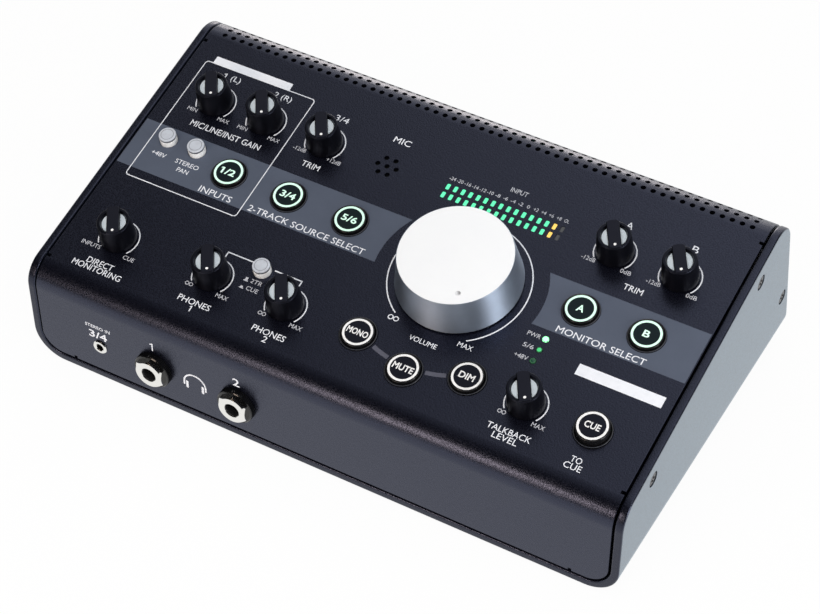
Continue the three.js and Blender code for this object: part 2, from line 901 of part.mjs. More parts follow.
function phonesSocket() {
  const halfWidth = phonesBodyWidth / 2;
  const halfHeight = phonesBodyHeight / 2;
  const front = -sheetWall - pieceGap;
  const body = block(-halfWidth, halfWidth, -halfHeight, halfHeight, -phonesBodyDepth, front);
  const bushing = rod(phonesBushingRadius, -phonesBodyDepth / 2, phonesBushingRise, mediumSides);
  const hole = rod(plugRadius, phonesFloor - phonesBodyDepth, phonesBushingRise + overrun, mediumSides);
  return cut(joined(body, bushing), hole);
}

// Hexagonal nut with a round flange, a turned front face and a lip over the bushing's end
function phonesNut() {
  const faceRadius = nutFlats / 2;
  const cornerRadius = faceRadius / Math.cos(Math.PI / 6);
  const hexagon = rod(cornerRadius, pieceGap, nutRise, 6).rotateZ(Math.PI / 6);
  const chamferSlope = nutChamfer / (cornerRadius - faceRadius);
  const cone = turned([
    [0, 0],
    [nutFlangeRadius, 0],
    [nutFlangeRadius, nutRise - chamferSlope * (nutFlangeRadius - faceRadius)],
    [faceRadius, nutRise],
    [0, nutRise],
  ], fineSides);
  const flange = turned([
    [0, pieceGap],
    [nutFlangeRadius, pieceGap],
    [nutFlangeRadius, nutFlangeRise - nutFlangeEdge],
    [nutFlangeRadius - nutFlangeEdge, nutFlangeRise],
    [0, nutFlangeRise],
  ], fineSides);
  const hole = rod(phonesBushingRadius + pieceGap, 0, phonesBushingRise + pieceGap, mediumSides);
  const mouth = rod(nutMouthRadius, 0, nutRise + overrun, mediumSides);
  return cut(joined(shared(hexagon, cone), flange), joined(hole, mouth));
}

// Rear sockets
function comboSocket() {
  const half = comboBodyWidth / 2;
  const body = block(-half, half, -half, half, -rearBodyDepth, rearInside);
  const nose = rod(comboRadius, -rearBodyDepth / 2, comboRise, fineSides);
  const cup = rod(comboCupRadius, -comboCupDepth, comboRise + overrun, fineSides);
  const core = rod(comboPinReach + comboPinRadius * 2, -comboCupDepth - overrun, -sheetWall, mediumSides);
  const hole = rod(plugRadius, -plugDepth, comboRise + overrun, mediumSides);
  const pin = rod(comboPinRadius, -comboCupDepth, overrun, tinySides);
  const pins = Array.from({ length: comboPins }, (unused, index) => {
    const angle = Math.PI / 2 + index * Math.PI * 2 / comboPins;
    return at(pin, comboPinReach * Math.cos(angle), comboPinReach * Math.sin(angle));
  });
  return cut(joined(cut(joined(body, nose), cup), core), hole, together(pins));
}

function lineBank(columns) {
  const centre = (columns[0] + columns[columns.length - 1]) / 2;
  const spread = Math.abs(columns[0] - columns[columns.length - 1]) / 2;
  const halfWidth = spread + lineBodyWidth / 2;
  const halfHeight = rearPairPitch / 2 + lineBodyWidth / 2;
  const body = block(-halfWidth, halfWidth, -halfHeight, halfHeight, -rearBodyDepth, rearInside);
  const places = columns.flatMap((x) => [-1, 1].map((side) => [x - centre, side * rearPairPitch / 2]));
  const nose = rod(lineRadius, -rearBodyDepth / 2, lineRise, coarseSides);
  const hole = rod(plugRadius, -plugDepth, lineRise + overrun, mediumSides);
  const noses = together(places.map(([x, y]) => at(nose, x, y)));
  return cut(joined(body, noses), together(places.map(([x, y]) => at(hole, x, y))));
}

function usbSocket() {
  const shell = extruded(usbOutline(0), rearBodyDepth).translate(0, 0, -rearBodyDepth);
  const mouth = extruded(usbOutline(-usbWall), usbMouthDepth + overrun).translate(0, 0, -usbMouthDepth);
  const halfWidth = usbTongueWidth / 2;
  const halfHeight = usbTongueHeight / 2;
  const root = -usbMouthDepth - overrun;
  const tongue = block(-halfWidth, halfWidth, -halfHeight, halfHeight, root, -usbTongueShort);
  return joined(cut(shell, mouth), tongue);
}

function powerInlet() {
  const half = inletBodyWidth / 2;
  const body = block(-half, half, -half, half, -rearBodyDepth, rearInside);
  const nose = rod(inletRadius, -rearBodyDepth / 2, inletRise, mediumSides);
  const hole = rod(inletHoleRadius, -inletHoleDepth, inletRise + overrun, coarseSides);
  const pin = rod(inletPinRadius, -inletHoleDepth - overrun, -inletPinShort, tinySides);
  return joined(cut(joined(body, nose), hole), pin);
}

function powerButton() {
  const half = powerWidth / 2;
  const outline = roundedOutline([
    corner(-half, -half, powerEdge),
    corner(half, -half, powerEdge),
    corner(half, half, powerEdge),
    corner(-half, half, powerEdge),
  ]);
  return extruded(outline, powerDepth).translate(0, 0, powerRise - powerDepth);
}

// Socket board behind the rear sockets, with the switch body behind the power button
function socketBoard() {
  const half = sheetHalf - socketBoardInset;
  const back = -rearBodyDepth - pieceGap;
  const board = block(-half, half, socketBoardLow, socketBoardHigh, back - boardWall, back);
  const edge = powerSwitchWidth / 2;
  const front = powerRise - powerDepth - powerTravel - pieceGap;
  const switchBody = block(-edge, edge, -edge, edge, back - boardWall / 2, front);
  return joined(board, at(switchBody, powerX, rearSocketY));
}

// Finishes: colour, roughness and metalness
const finishes = {
  blackPaint: [0x16161a, 0.42, 0.3],
  satinAluminium: [0xd4d6d8, 0.28, 1],
  knobPlastic: [0x131316, 0.5, 0],
  capPlastic: [0x101413, 0.4, 0],
  greyPlastic: [0xc8ccd2, 0.4, 0],
  framePlastic: [0x0a0a0b, 0.5, 0],
  meterGreen: [0x7fffd0, 0.4, 0],
  rubber: [0x141414, 0.9, 0],
  board: [0x1f4a32, 0.6, 0],
  chrome: [0xe4e4e2, 0.12, 1],
  socketPlastic: [0x18181a, 0.5, 0],
  zinc: [0xb9bcc0, 0.35, 1],
  screwSteel: [0x2a2b2e, 0.35, 1],
};

function addPiece(parent, name, finish, geometry, x = 0, y = 0) {
  const [color, roughness, metalness] = finishes[finish];
  const mesh = new THREE.Mesh(geometry, new THREE.MeshStandardMaterial({ color, roughness, metalness }));
  mesh.name = name;
  mesh.position.set(x, y, 0);
  parent.add(mesh);
  return mesh;
}

addPiece(housing, "outer_wrap", "blackPaint", outerWrap());
addPiece(housing, "inner_sheet", "blackPaint", innerSheet());

for (const [side, sideName] of [[-1, "left"], [1, "right"]]) {
  ["front", "rear_upper", "rear_lower"].forEach((placeName, index) => {
    const screw = turnedToSide(sideScrew(), side, screwPlaces[index]);
    addPiece(housing, `screw_${sideName}_${placeName}`, "screwSteel", screw);
  });
  const footX = side * (housingHalf - footInset);
  addPiece(housing, `foot_${sideName}_front`, "rubber", foot(), footX, footEdgeInset);
  addPiece(housing, `foot_${sideName}_rear`, "rubber", foot(), footX, bottomDepth - footEdgeInset);
}

addPiece(topPanel, "volume_knob", "satinAluminium", volumeKnob(), volumeX, volumeY);
const volumePot = potentiometer(volumePotWidth, volumeBushingWall, volumeBushingTop);
addPiece(topPanel, "volume_potentiometer", "zinc", volumePot, volumeX, volumeY);
for (const [name, [x, y]] of Object.entries(smallKnobs)) {
  addPiece(topPanel, `knob_${name}`, "knobPlastic", smallKnob(), x, y);
  const pot = potentiometer(potWidth, bushingWall, bushingTop);
  addPiece(topPanel, `potentiometer_${name}`, "zinc", pot, x, y);
}
for (const [name, [x, y]] of Object.entries(litButtons)) {
  const cap = name === "talkback" ? litCap(talkCapRise, talkCapTravel) : litCap(capRise, capTravel);
  addPiece(topPanel, `button_${name}`, "capPlastic", cap, x, y);
}
for (const [name, [x, y]] of Object.entries(plainButtons)) {
  addPiece(topPanel, `button_${name}`, "greyPlastic", plainCap(), x, y);
}
addPiece(topPanel, "button_frame", "framePlastic", buttonFrame());
addPiece(topPanel, "level_meter", "meterGreen", levelMeter());
addPiece(topPanel, "control_board", "board", controlBoard());

addPiece(frontPanel, "mini_socket", "chrome", miniSocket(), miniX, miniY);
phonesX.forEach((x, index) => {
  addPiece(frontPanel, `phones_socket_${index + 1}`, "socketPlastic", phonesSocket(), x, phonesY);
  addPiece(frontPanel, `phones_nut_${index + 1}`, "chrome", phonesNut(), x, phonesY);
});

comboX.forEach((x, index) => {
  addPiece(rearPanel, `combo_socket_${index + 1}`, "socketPlastic", comboSocket(), x, rearSocketY);
});
addPiece(rearPanel, "line_input_sockets", "socketPlastic", lineBank([linePairX]), linePairX, rearSocketY);
addPiece(rearPanel, "monitor_output_sockets", "socketPlastic", lineBank(lineQuadX), quadX, rearSocketY);
addPiece(rearPanel, "usb_socket", "zinc", usbSocket(), usbX, rearSocketY);
addPiece(rearPanel, "power_inlet", "socketPlastic", powerInlet(), inletX, rearSocketY);
addPiece(rearPanel, "power_button", "framePlastic", powerButton(), powerX, rearSocketY);
addPiece(rearPanel, "socket_board", "board", socketBoard());

export default controller;
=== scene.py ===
"""Looks of the studio monitor controller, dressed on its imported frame.

Lengths are millimetres in each panel's own frame, X across it, Y up it and Z out of it,
and metres in the scene.
"""

import logging
import math
from dataclasses import dataclass, field, replace
from enum import Enum
from functools import cache

import bmesh
import bpy
from mathutils import Matrix, Vector

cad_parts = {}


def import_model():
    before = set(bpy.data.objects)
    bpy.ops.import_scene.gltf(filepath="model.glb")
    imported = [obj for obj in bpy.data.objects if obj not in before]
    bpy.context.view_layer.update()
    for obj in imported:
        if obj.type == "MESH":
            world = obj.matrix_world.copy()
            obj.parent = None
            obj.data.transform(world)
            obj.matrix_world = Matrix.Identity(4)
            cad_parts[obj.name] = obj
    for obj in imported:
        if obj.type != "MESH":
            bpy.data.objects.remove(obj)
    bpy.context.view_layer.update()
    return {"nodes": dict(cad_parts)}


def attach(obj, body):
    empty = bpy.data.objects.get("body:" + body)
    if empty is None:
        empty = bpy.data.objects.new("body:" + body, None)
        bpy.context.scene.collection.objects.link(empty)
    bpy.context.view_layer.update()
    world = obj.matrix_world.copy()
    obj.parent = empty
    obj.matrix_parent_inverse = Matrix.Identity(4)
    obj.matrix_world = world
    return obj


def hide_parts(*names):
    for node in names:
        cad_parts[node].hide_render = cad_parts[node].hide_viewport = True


LOG = logging.getLogger("monitor_controller")
MM = 0.001
METRES = Matrix.Diagonal((MM, MM, MM, 1))

Point = tuple[float, float]
Corner = tuple[float, float, float]
Piece = bpy.types.Object
Socket = bpy.types.NodeSocket

WHITE = (1.0, 1.0, 1.0)
SHARP = math.radians(32)
UP = (0.0, 0.0, 1.0)


# Sizes and places that several assemblies share


@dataclass(frozen=True)
class HousingSizes:
    """The housing's main sizes and the shared layout of its top panel."""

    width: float = 290.0
    front_height: float = 50.2
    top_length: float = 162.6
    slope: float = math.radians(12.95)
    lean: float = math.radians(11.8)
    front_bend: float = 12.0
    rear_bend: float = 15.0
    wrap_wall: float = 3.9
    wrap_bend: float = 15.0
    sheet_wall: float = 1.6
    seam: float = 0.8
    foot_height: float = 3.0
    nut_rise: float = 5.1

    @property
    def half(self) -> float:
        """Half of the wrap's width."""
        return self.width / 2

    @property
    def sheet_half(self) -> float:
        """Half of the inner sheet's width."""
        return self.half - self.wrap_wall - self.seam

    @property
    def sheet_bottom(self) -> float:
        """Height of the inner sheet's lower edge."""
        return self.wrap_wall + self.seam

    @property
    def rear_top(self) -> Point:
        """The rear corner of the side outline, before its bend, in Y and Z."""
        return (
            self.top_length * math.cos(self.slope),
            self.front_height + self.top_length * math.sin(self.slope),
        )

    @property
    def bottom_depth(self) -> float:
        """Depth of the side outline at its lower edge."""
        back, high = self.rear_top
        return back + high * math.tan(self.lean)

    @property
    def shift(self) -> float:
        """Place of the front face along Y, so that the whole unit is centred."""
        return (self.nut_rise - self.bottom_depth) / 2

    @property
    def bend_turn(self) -> float:
        """Angle that the rear bend turns through."""
        return math.pi / 2 + self.slope - self.lean


SIZES = HousingSizes()


class Panel(Enum):
    """The frames that pieces are drawn in, each of X across, Y up and Z out of the panel."""

    HOUSING = "housing"
    TOP = "top"
    FRONT = "front"
    REAR = "rear"

    @property
    def matrix(self) -> Matrix:
        """The matrix from the panel's millimetres to the part's millimetres."""
        right = Vector((1, 0, 0))
        across, up, y, z = {
            "housing": (right, Vector((0, 1, 0)), 0, 0),
            "top": (right, Vector((0, math.cos(SIZES.slope), math.sin(SIZES.slope))), 0, SIZES.front_height),
            "front": (right, Vector((0, 0, 1)), 0, 0),
            "rear": (-right, Vector((0, -math.sin(SIZES.lean), math.cos(SIZES.lean))), SIZES.bottom_depth, 0),
        }[self.value]
        turn = Matrix((across, up, across.cross(up))).transposed().to_4x4()
        return Matrix.Translation((0, y + SIZES.shift, z + SIZES.foot_height)) @ turn


HOUSING, TOP, FRONT, REAR = Panel


class Slot(Enum):
    """Material slots of the record."""

    BLACK_PAINT = "black_paint"
    SATIN_ALUMINIUM = "satin_aluminium"
    KNOB_PLASTIC = "knob_plastic"
    CAP_PLASTIC = "cap_plastic"
    GREY_PLASTIC = "grey_plastic"
    FRAME_PLASTIC = "frame_plastic"
    METER_WINDOW = "meter_window"
    FOOT_RUBBER = "foot_rubber"
    BOARD = "board"
    CHROME = "chrome"
    SOCKET_PLASTIC = "socket_plastic"
    ZINC = "zinc"
    SCREW_STEEL = "screw_steel"


@dataclass(frozen=True)
class Layout:
    """Places of the controls on the top panel."""

    far_left: float = -115.5
    left: float = -88.8
    line: float = -57.9
    third: float = -26.6
    right: float = 85.4
    far_right: float = 115.8
    upper: float = 113.9
    middle: float = 81.4
    lower: float = 31.3
    volume: Point = (31.6, 74.0)
    microphone: Point = (-26.3, 114.05)
    meter: Point = (3.71, 115.4)
    meter_step: Point = (3.718, -4.65)
    status: Point = (78.45, 50.8)
    status_step: float = 5.85

    @property
    def knobs(self) -> dict[str, Point]:
        """Small knobs by name."""
        return {
            "gain_1": (self.far_left, self.upper), "gain_2": (self.left, self.upper),
            "line_trim": (self.line, self.upper), "trim_a": (self.right, self.upper),
            "trim_b": (self.far_right, self.upper), "direct_mix": (self.far_left, self.lower),
            "phones_1": (-66.9, self.lower), "phones_2": (-29.9, self.lower),
            "talkback_level": (self.right, self.lower),
        }

    @property
    def lit(self) -> dict[str, Point]:
        """Lit buttons by name."""
        x, y = self.volume
        return {
            "source_1": (self.left, self.middle), "source_2": (self.line, self.middle),
            "source_3": (self.third, self.middle), "monitor_a": (self.right, self.middle),
            "monitor_b": (self.far_right, self.middle), "mono": (x - 26.1, y - 42.2),
            "mute": (x, y - 49.7), "dim": (x + 26.1, y - 42.2), "talkback": (self.far_right, self.lower),
        }

    @property
    def plain(self) -> dict[str, Point]:
        """Plain buttons by name."""
        return {"phantom": (-124.0, 86.6), "pan": (-108.9, 86.6), "phones_source": (-48.4, 42.8)}

    @property
    def status_lights(self) -> list[Point]:
        """The three status lights, from the lowest up."""
        return [(self.status[0], self.status[1] + index * self.status_step) for index in range(3)]


@dataclass(frozen=True)
class SocketPlaces:
    """Places of the sockets on the front and the rear panel."""

    phones: tuple[Point, Point] = ((-79.6, 21.2), (-36.9, 21.2))
    mini: Point = (-108.4, 19.9)
    row: float = 41.0
    pair: float = 12.0
    combined: tuple[float, ...] = (106.0, 74.0)
    inputs: tuple[float, ...] = (42.3,)
    outputs: tuple[float, ...] = (10.0, -12.0)
    usb: float = -48.0
    inlet: float = -80.0
    power: float = -104.0

    def rows(self, columns: tuple[float, ...]) -> list[Point]:
        """Gives the places of line sockets, two in each column."""
        return [(x, y) for x in columns for y in (self.row - self.pair, self.row + self.pair)]


LAYOUT = Layout()
SOCKETS = SocketPlaces()


# Node trees


class Wires:
    """A node tree in the making."""

    def __init__(self, tree: bpy.types.NodeTree) -> None:
        """Starts on a tree."""
        self.tree = tree

    def feed(self, node: bpy.types.Node, inputs: dict[int | str, object]) -> bpy.types.Node:
        """Links or sets some inputs of a node.

        Args:
            node: the node.
            inputs: a socket to link or a plain value, for each input.

        Returns:
            The node.
        """
        for key, value in inputs.items():
            if isinstance(value, Socket):
                self.tree.links.new(value, node.inputs[key])
            else:
                node.inputs[key].default_value = value
        return node

    def add(self, kind: str, inputs: dict[int | str, object] | None = None, **settings: object) -> bpy.types.Node:
        """Adds a node.

        Args:
            kind: the node's type.
            inputs: a socket to link or a plain value, for each input.
            settings: the node's own settings.

        Returns:
            The node.
        """
        node = self.tree.nodes.new(kind)
        for name, value in settings.items():
            setattr(node, name, value)
        return self.feed(node, inputs or {})


# Finishes


class Texture(Enum):
    """Kinds of fine relief that a finish can have."""

    GRAIN = "grain"
    CELLS = "cells"
    TURNED = "turned"


@dataclass(frozen=True)
class Finish:
    """One finish: its colours, its gloss, its fine relief and its glow, with sizes in millimetres."""

    name: str
    color: Corner
    roughness: float
    grain: float = 0.4
    relief: float = 0.25
    patch: float = 6.0
    metallic: float = 0.0
    ior: float = 1.5
    shade: Corner | None = None
    shade_share: float = 0.86
    patch_grain: float = 0.35
    patch_span: Point = (0.45, 0.9)
    texture: Texture = Texture.GRAIN
    depth: float = 0.03
    mottle: float = 0.05
    mottle_span: Point = (0.25, 0.75)
    axis: tuple[Corner, Corner] | None = None
    tint: Corner = WHITE
    stretch: float = 0.0
    coat: float = 0.0
    coat_ior: float = 1.5
    coat_roughness: float = 0.2
    glow: Corner | None = None
    glow_strength: float = 0.0

    def material(self) -> bpy.types.Material:
        """Gives the finish's material, and makes it the first time."""
        known = bpy.data.materials.get(self.name)
        if known:
            return known
        made = bpy.data.materials.new(self.name)
        made.use_nodes = True
        wires = Wires(made.node_tree)
        shader = wires.tree.nodes["Principled BSDF"]
        tint = (*self.tint, 1)
        wires.feed(shader, {"Metallic": self.metallic, "IOR": self.ior, "Specular Tint": tint})
        if self.stretch:
            along = wires.add("ShaderNodeTangent", direction_type="UV_MAP", uv_map="profile")
            wires.feed(shader, {"Anisotropic": self.stretch, "Tangent": along.outputs["Tangent"]})
        if self.coat:
            wires.feed(shader, {
                "Coat Weight": self.coat, "Coat IOR": self.coat_ior, "Coat Tint": tint,
                "Coat Roughness": self.coat_roughness,
            })
        if self.glow:
            wires.feed(shader, {"Emission Color": (*self.glow, 1), "Emission Strength": self.glow_strength})
        spot = wires.add("ShaderNodeTexCoord").outputs["Object"]
        height = self.height(wires, spot)
        bump = wires.add("ShaderNodeBump", {
            "Strength": self.relief, "Distance": self.depth * MM, "Height": height,
        })
        wires.feed(shader, {
            "Normal": bump.outputs["Normal"], "Roughness": self.gloss(wires, height),
            "Base Color": self.drift(wires, spot, height),
        })
        return made

    @staticmethod
    def noise(wires: Wires, spot: Socket, size: float, detail: float) -> Socket:
        """Adds noise of one size.

        Args:
            wires: the material's tree.
            spot: the place that it is read at.
            size: its size in millimetres.
            detail: number of finer octaves.

        Returns:
            The noise's value.
        """
        return wires.add("ShaderNodeTexNoise", {
            "Vector": spot, "Scale": 1 / (size * MM), "Detail": detail, "Roughness": 0.6,
        }).outputs["Fac"]

    def height(self, wires: Wires, spot: Socket) -> Socket:
        """Adds the relief's height: a fine grain, packed cells, or marks round an axis.

        Args:
            wires: the material's tree.
            spot: the place that it is read at.

        Returns:
            The height, from 0 to 1.
        """
        if self.texture is Texture.CELLS:
            cells = wires.add("ShaderNodeTexVoronoi", {"Vector": spot, "Scale": 1 / (self.grain * MM)})
            return cells.outputs["Distance"]
        if self.texture is Texture.TURNED and self.axis:
            return self.noise(wires, self.round_axis(wires, spot), self.grain, 3.0)
        return self.noise(wires, spot, self.grain, 2.0)

    def round_axis(self, wires: Wires, spot: Socket) -> Socket:
        """Turns a place into its distance from the axis and its place along it.

        Args:
            wires: the material's tree.
            spot: the place.

        Returns:
            The vector of both.
        """
        lay = wires.add("ShaderNodeMapping", {
            "Vector": spot, "Location": self.axis[0], "Rotation": self.axis[1],
        }, vector_type="TEXTURE")
        parts = wires.add("ShaderNodeSeparateXYZ", {"Vector": lay.outputs["Vector"]}).outputs
        flat = wires.add("ShaderNodeCombineXYZ", {"X": parts["X"], "Y": parts["Y"]})
        reach = wires.add("ShaderNodeVectorMath", {0: flat.outputs["Vector"]}, operation="LENGTH")
        pair = wires.add("ShaderNodeCombineXYZ", {"X": reach.outputs["Value"], "Y": parts["Z"]})
        return pair.outputs["Vector"]

    def gloss(self, wires: Wires, height: Socket) -> Socket:
        """Adds a roughness that varies with the relief.

        Args:
            wires: the material's tree.
            height: the relief's height.

        Returns:
            The roughness.
        """
        start, end = self.mottle_span
        span = wires.add("ShaderNodeMapRange", {
            "Value": height, "From Min": start, "From Max": end,
            "To Min": max(self.roughness - self.mottle, 0.02), "To Max": min(self.roughness + self.mottle, 1.0),
        })
        return span.outputs["Result"]

    def drift(self, wires: Wires, spot: Socket, height: Socket) -> Socket:
        """Adds a colour that drifts between the two tones, in patches broken up by the grain.

        Args:
            wires: the material's tree.
            spot: the place that it is read at.
            height: the relief's height.

        Returns:
            The colour.
        """
        shade = self.shade or tuple(value * self.shade_share for value in self.color)
        broad = self.noise(wires, spot, self.patch, 3.0)
        mixed = wires.add("ShaderNodeMath", {0: height, 1: self.patch_grain, 2: broad}, operation="MULTIPLY_ADD")
        ramp = wires.add("ShaderNodeValToRGB", {"Fac": mixed.outputs["Value"]})
        for stop, place, tone in zip(ramp.color_ramp.elements, self.patch_span, (self.color, shade)):
            stop.position = place
            stop.color = (*tone, 1)
        return ramp.outputs["Color"]


# Each finish gives its name, its colour, its roughness, its grain, its relief and its patches, and then
# what differs from the usual.

VOLUME_AXIS = (tuple((TOP.matrix @ Vector((*LAYOUT.volume, 0.0))) * MM), (SIZES.slope, 0.0, 0.0))

COOL = (0.6, 0.665, 0.99)
PAINT = Finish(
    "black_powder_paint", (0.0022, 0.0023, 0.0048), 0.3, 0.6, 0.6, 30.0, ior=1.71, tint=COOL, texture=Texture.CELLS,
    depth=0.05, mottle=0.08,
)
# A copy of the black paint that reflects less, for the wrap's front-facing faces so that they look darker: painted
# shade.
RIM_PAINT_PAINTED_SHADE = replace(PAINT, name="black_rim_paint", ior=1.55)
# The black paint with a glossier coat, for the wrap's side faces so that they shine brighter: painted sheen.
WRAP_PAINT_PAINTED_SHEEN = Finish(
    "satin_black_enamel", (0.004, 0.005, 0.009), 0.34, 0.7, 0.7, 30.0, ior=1.65, tint=(0.6, 0.82, 1.0),
    texture=Texture.CELLS, depth=0.08, mottle=0.06, coat=1.0, coat_ior=1.87, coat_roughness=0.3,
)
BAND_INK = Finish("grey_band_ink", (0.082, 0.097, 0.13), 0.42, 0.5, 0.3, 18.0, tint=COOL)
WHITE_INK = Finish("white_ink", (0.8, 0.82, 0.87), 0.5, 0.3, 0.2, 3.0, shade=(0.74, 0.76, 0.81))
PALE_INK = Finish("pale_ink", (0.56, 0.57, 0.62), 0.5, 0.3, 0.2, 3.0)
GREY_INK = Finish("grey_ink", (0.085, 0.088, 0.12), 0.5, 0.4, 0.2, 4.0)
# Top face of the volume knob: satin aluminium painted near white and mostly unmetallic, much paler than the turned
# wall, as a painted highlight for the light on the top.
ALUMINIUM = Finish(
    "satin_aluminium_face", (0.965, 0.98, 0.995), 0.42, 0.5, 0.1, 14.0, metallic=0.25, texture=Texture.TURNED,
    depth=0.01, shade=(0.94, 0.955, 0.975), axis=VOLUME_AXIS,
)
TURNED_WALL = Finish(
    "turned_aluminium_wall", (0.49, 0.565, 0.69), 0.55, 0.16, 0.5, 14.0, metallic=1.0, texture=Texture.TURNED,
    depth=0.008, axis=VOLUME_AXIS, stretch=0.8,
)
DIMPLE = Finish("milled_dimple", (0.92, 0.93, 0.95), 0.34, 0.4, 0.1, 1.5, metallic=0.75, mottle=0.04)
KNOB_BLACK = Finish("knob_black", (0.002, 0.002, 0.003), 0.34, 0.35, 0.3, 5.0, ior=1.4, tint=COOL)
KNOB_GRIP = Finish("knob_grip", (0.006, 0.006, 0.009), 0.5, 0.35, 0.35, 4.0, ior=1.4, tint=COOL)
KNOB_LAND = Finish("knob_land", (0.72, 0.79, 0.84), 0.35, 0.5, 0.08, 4.0, shade=(0.66, 0.73, 0.78))
KNOB_PIP = Finish("knob_pip", (0.9, 0.9, 0.9), 0.4, 0.3, 0.1, 1.0)
CAP_BLACK = Finish("cap_black", (0.006, 0.006, 0.007), 0.24, 0.5, 0.12, 5.0)
CAP_FACE_DARK = Finish("cap_face_dark", (0.004, 0.004, 0.006), 0.42, 0.35, 0.2, 5.0, ior=1.4, tint=COOL)
CAP_FACE_LIT = Finish(
    "cap_face_lit", (0.002, 0.006, 0.005), 0.42, 0.35, 0.2, 5.0, ior=1.4, tint=COOL, glow=(0.2, 0.6, 0.45),
    glow_strength=0.005,
)
RING_WHITE = Finish("ring_white", (0.88, 0.88, 0.88), 0.4, 0.3, 0.1, 3.0)
RING_LIT = Finish("ring_lit", (0.6, 0.78, 0.7), 0.4, 0.3, 0.1, 3.0, glow=(0.55, 1.0, 0.74), glow_strength=0.42)
GREY_CAP = Finish("grey_cap", (0.52, 0.56, 0.62), 0.38, 0.4, 0.25, 3.0, shade=(0.45, 0.47, 0.52))
# Lower wall of the plain button, painted near white: a painted highlight for the light that falls on it.
GREY_WALL_PAINTED_HIGHLIGHT = Finish("grey_cap_wall", (0.97, 0.975, 0.98), 0.36, 0.4, 0.2, 3.0)
# Upper side of the plain button and a thin ring on its top, painted dark grey: painted shade.
GREY_SIDE_PAINTED_SHADE = Finish("grey_cap_side", (0.15, 0.16, 0.185), 0.4, 0.4, 0.2, 3.0)
# Thin pale ring at each collar's outer top edge: a painted highlight.
COLLAR_PAINTED_HIGHLIGHT = Finish("collar_edge", (0.04, 0.043, 0.058), 0.3, 0.4, 0.12, 6.0)
COLLAR = Finish("collar_black", (0.005, 0.005, 0.006), 0.2, 0.4, 0.12, 6.0)
RUBBER = Finish("foot_rubber", (0.02, 0.02, 0.02), 0.85, 0.8, 0.5, 4.0, texture=Texture.CELLS, depth=0.08)
CHROME = Finish(
    "chrome", (0.96, 0.955, 0.94), 0.1, 0.7, 0.06, 3.0, metallic=1.0, depth=0.02, mottle=0.04, shade=(0.88, 0.87, 0.85),
)
NUT_BLACK = Finish("nut_ring_black", (0.003, 0.003, 0.0035), 0.18, 0.4, 0.25, 3.0)
NICKEL = Finish("nickel", (0.62, 0.6, 0.57), 0.26, 0.6, 0.1, 4.0, metallic=1.0, mottle=0.06)
ZINC = Finish("dull_zinc", (0.5, 0.51, 0.52), 0.4, 1.2, 0.2, 5.0, metallic=1.0, texture=Texture.CELLS, mottle=0.12)
SOCKET_BLACK = Finish("socket_black", (0.012, 0.012, 0.013), 0.42, 0.4, 0.3, 6.0)
BOARD_GREEN = Finish("board_green", (0.02, 0.11, 0.045), 0.4, 1.5, 0.3, 9.0, shade=(0.012, 0.075, 0.03))
SCREW_BLACK = Finish(
    "screw_black", (0.09, 0.09, 0.1), 0.3, 0.3, 0.35, 1.5, metallic=1.0, mottle=0.12, shade=(0.04, 0.04, 0.045),
)
LIGHT_GREEN = Finish(
    "light_green", (0.08, 0.45, 0.28), 0.35, 0.4, 0.15, 1.2, glow=(0.12, 1.0, 0.47), glow_strength=0.72,
)
LIGHT_AMBER = Finish("light_amber", (0.6, 0.42, 0.1), 0.35, 0.4, 0.15, 1.2, glow=(1.0, 0.6, 0.12), glow_strength=0.75)
LIGHT_OFF = Finish("light_off", (0.075, 0.078, 0.084), 0.3, 0.4, 0.15, 1.2)
STATUS_BRIGHT = Finish("status_bright", (0.3, 0.9, 0.4), 0.35, 0.4, 0.1, 1.2, glow=(0.25, 1.0, 0.4), glow_strength=1.7)
STATUS_MID = Finish("status_mid", (0.05, 0.4, 0.15), 0.35, 0.4, 0.1, 1.2, glow=(0.06, 0.75, 0.22), glow_strength=0.45)
STATUS_DIM = Finish("status_dim", (0.008, 0.06, 0.035), 0.35, 0.4, 0.1, 1.2, glow=(0.02, 0.2, 0.09), glow_strength=0.03)
GRILLE = Finish(
    "microphone_grille", (0.006, 0.006, 0.006), 0.6, 0.5, 0.5, 6.0, metallic=0.5, texture=Texture.CELLS, depth=0.1,
)


# Mesh tools


def filleted(corners: list[Corner], closed: bool = True, steps: int = 6) -> list[Point]:
    """Rounds the corners of an outline.

    Args:
        corners: X, Y and radius of each corner.
        closed: whether the last corner joins the first.
        steps: number of facets in each rounded corner.

    Returns:
        The outline's points.
    """
    points: list[Point] = []
    count = len(corners)
    for index, (x, y, radius) in enumerate(corners):
        here = Vector((x, y))
        is_end = not closed and index in (0, count - 1)
        if radius <= 0 or is_end:
            points.append((x, y))
            continue
        before = Vector(corners[index - 1][:2]) - here
        after = Vector(corners[(index + 1) % count][:2]) - here
        half = before.angle(after) / 2
        middle = (before.normalized() + after.normalized()).normalized()
        centre = here + middle * (radius / math.sin(half))
        start = here + before.normalized() * (radius / math.tan(half)) - centre
        turn = math.pi - 2 * half
        sign = 1 if before.x * after.y - before.y * after.x < 0 else -1
        for step in range(steps + 1):
            spun = Matrix.Rotation(sign * turn * step / steps, 2) @ start
            points.append(tuple(centre + spun))
    return points


def arc(radius: float, start: float, end: float, centre: Point = (0, 0), steps: int = 48) -> list[Point]:
    """Gives points on an arc.

    Args:
        radius: the arc's radius.
        start: first angle in degrees.
        end: last angle in degrees.
        centre: the arc's centre.
        steps: number of facets.

    Returns:
        The arc's points.
    """
    points = []
    for step in range(steps + 1):
        angle = math.radians(start + (end - start) * step / steps)
        points.append((centre[0] + radius * math.cos(angle), centre[1] + radius * math.sin(angle)))
    return points


def circle(radius: float, centre: Point = (0, 0), steps: int = 32) -> list[Point]:
    """Gives the points of a full circle."""
    return arc(radius, 0, 360, centre, steps)[:-1]


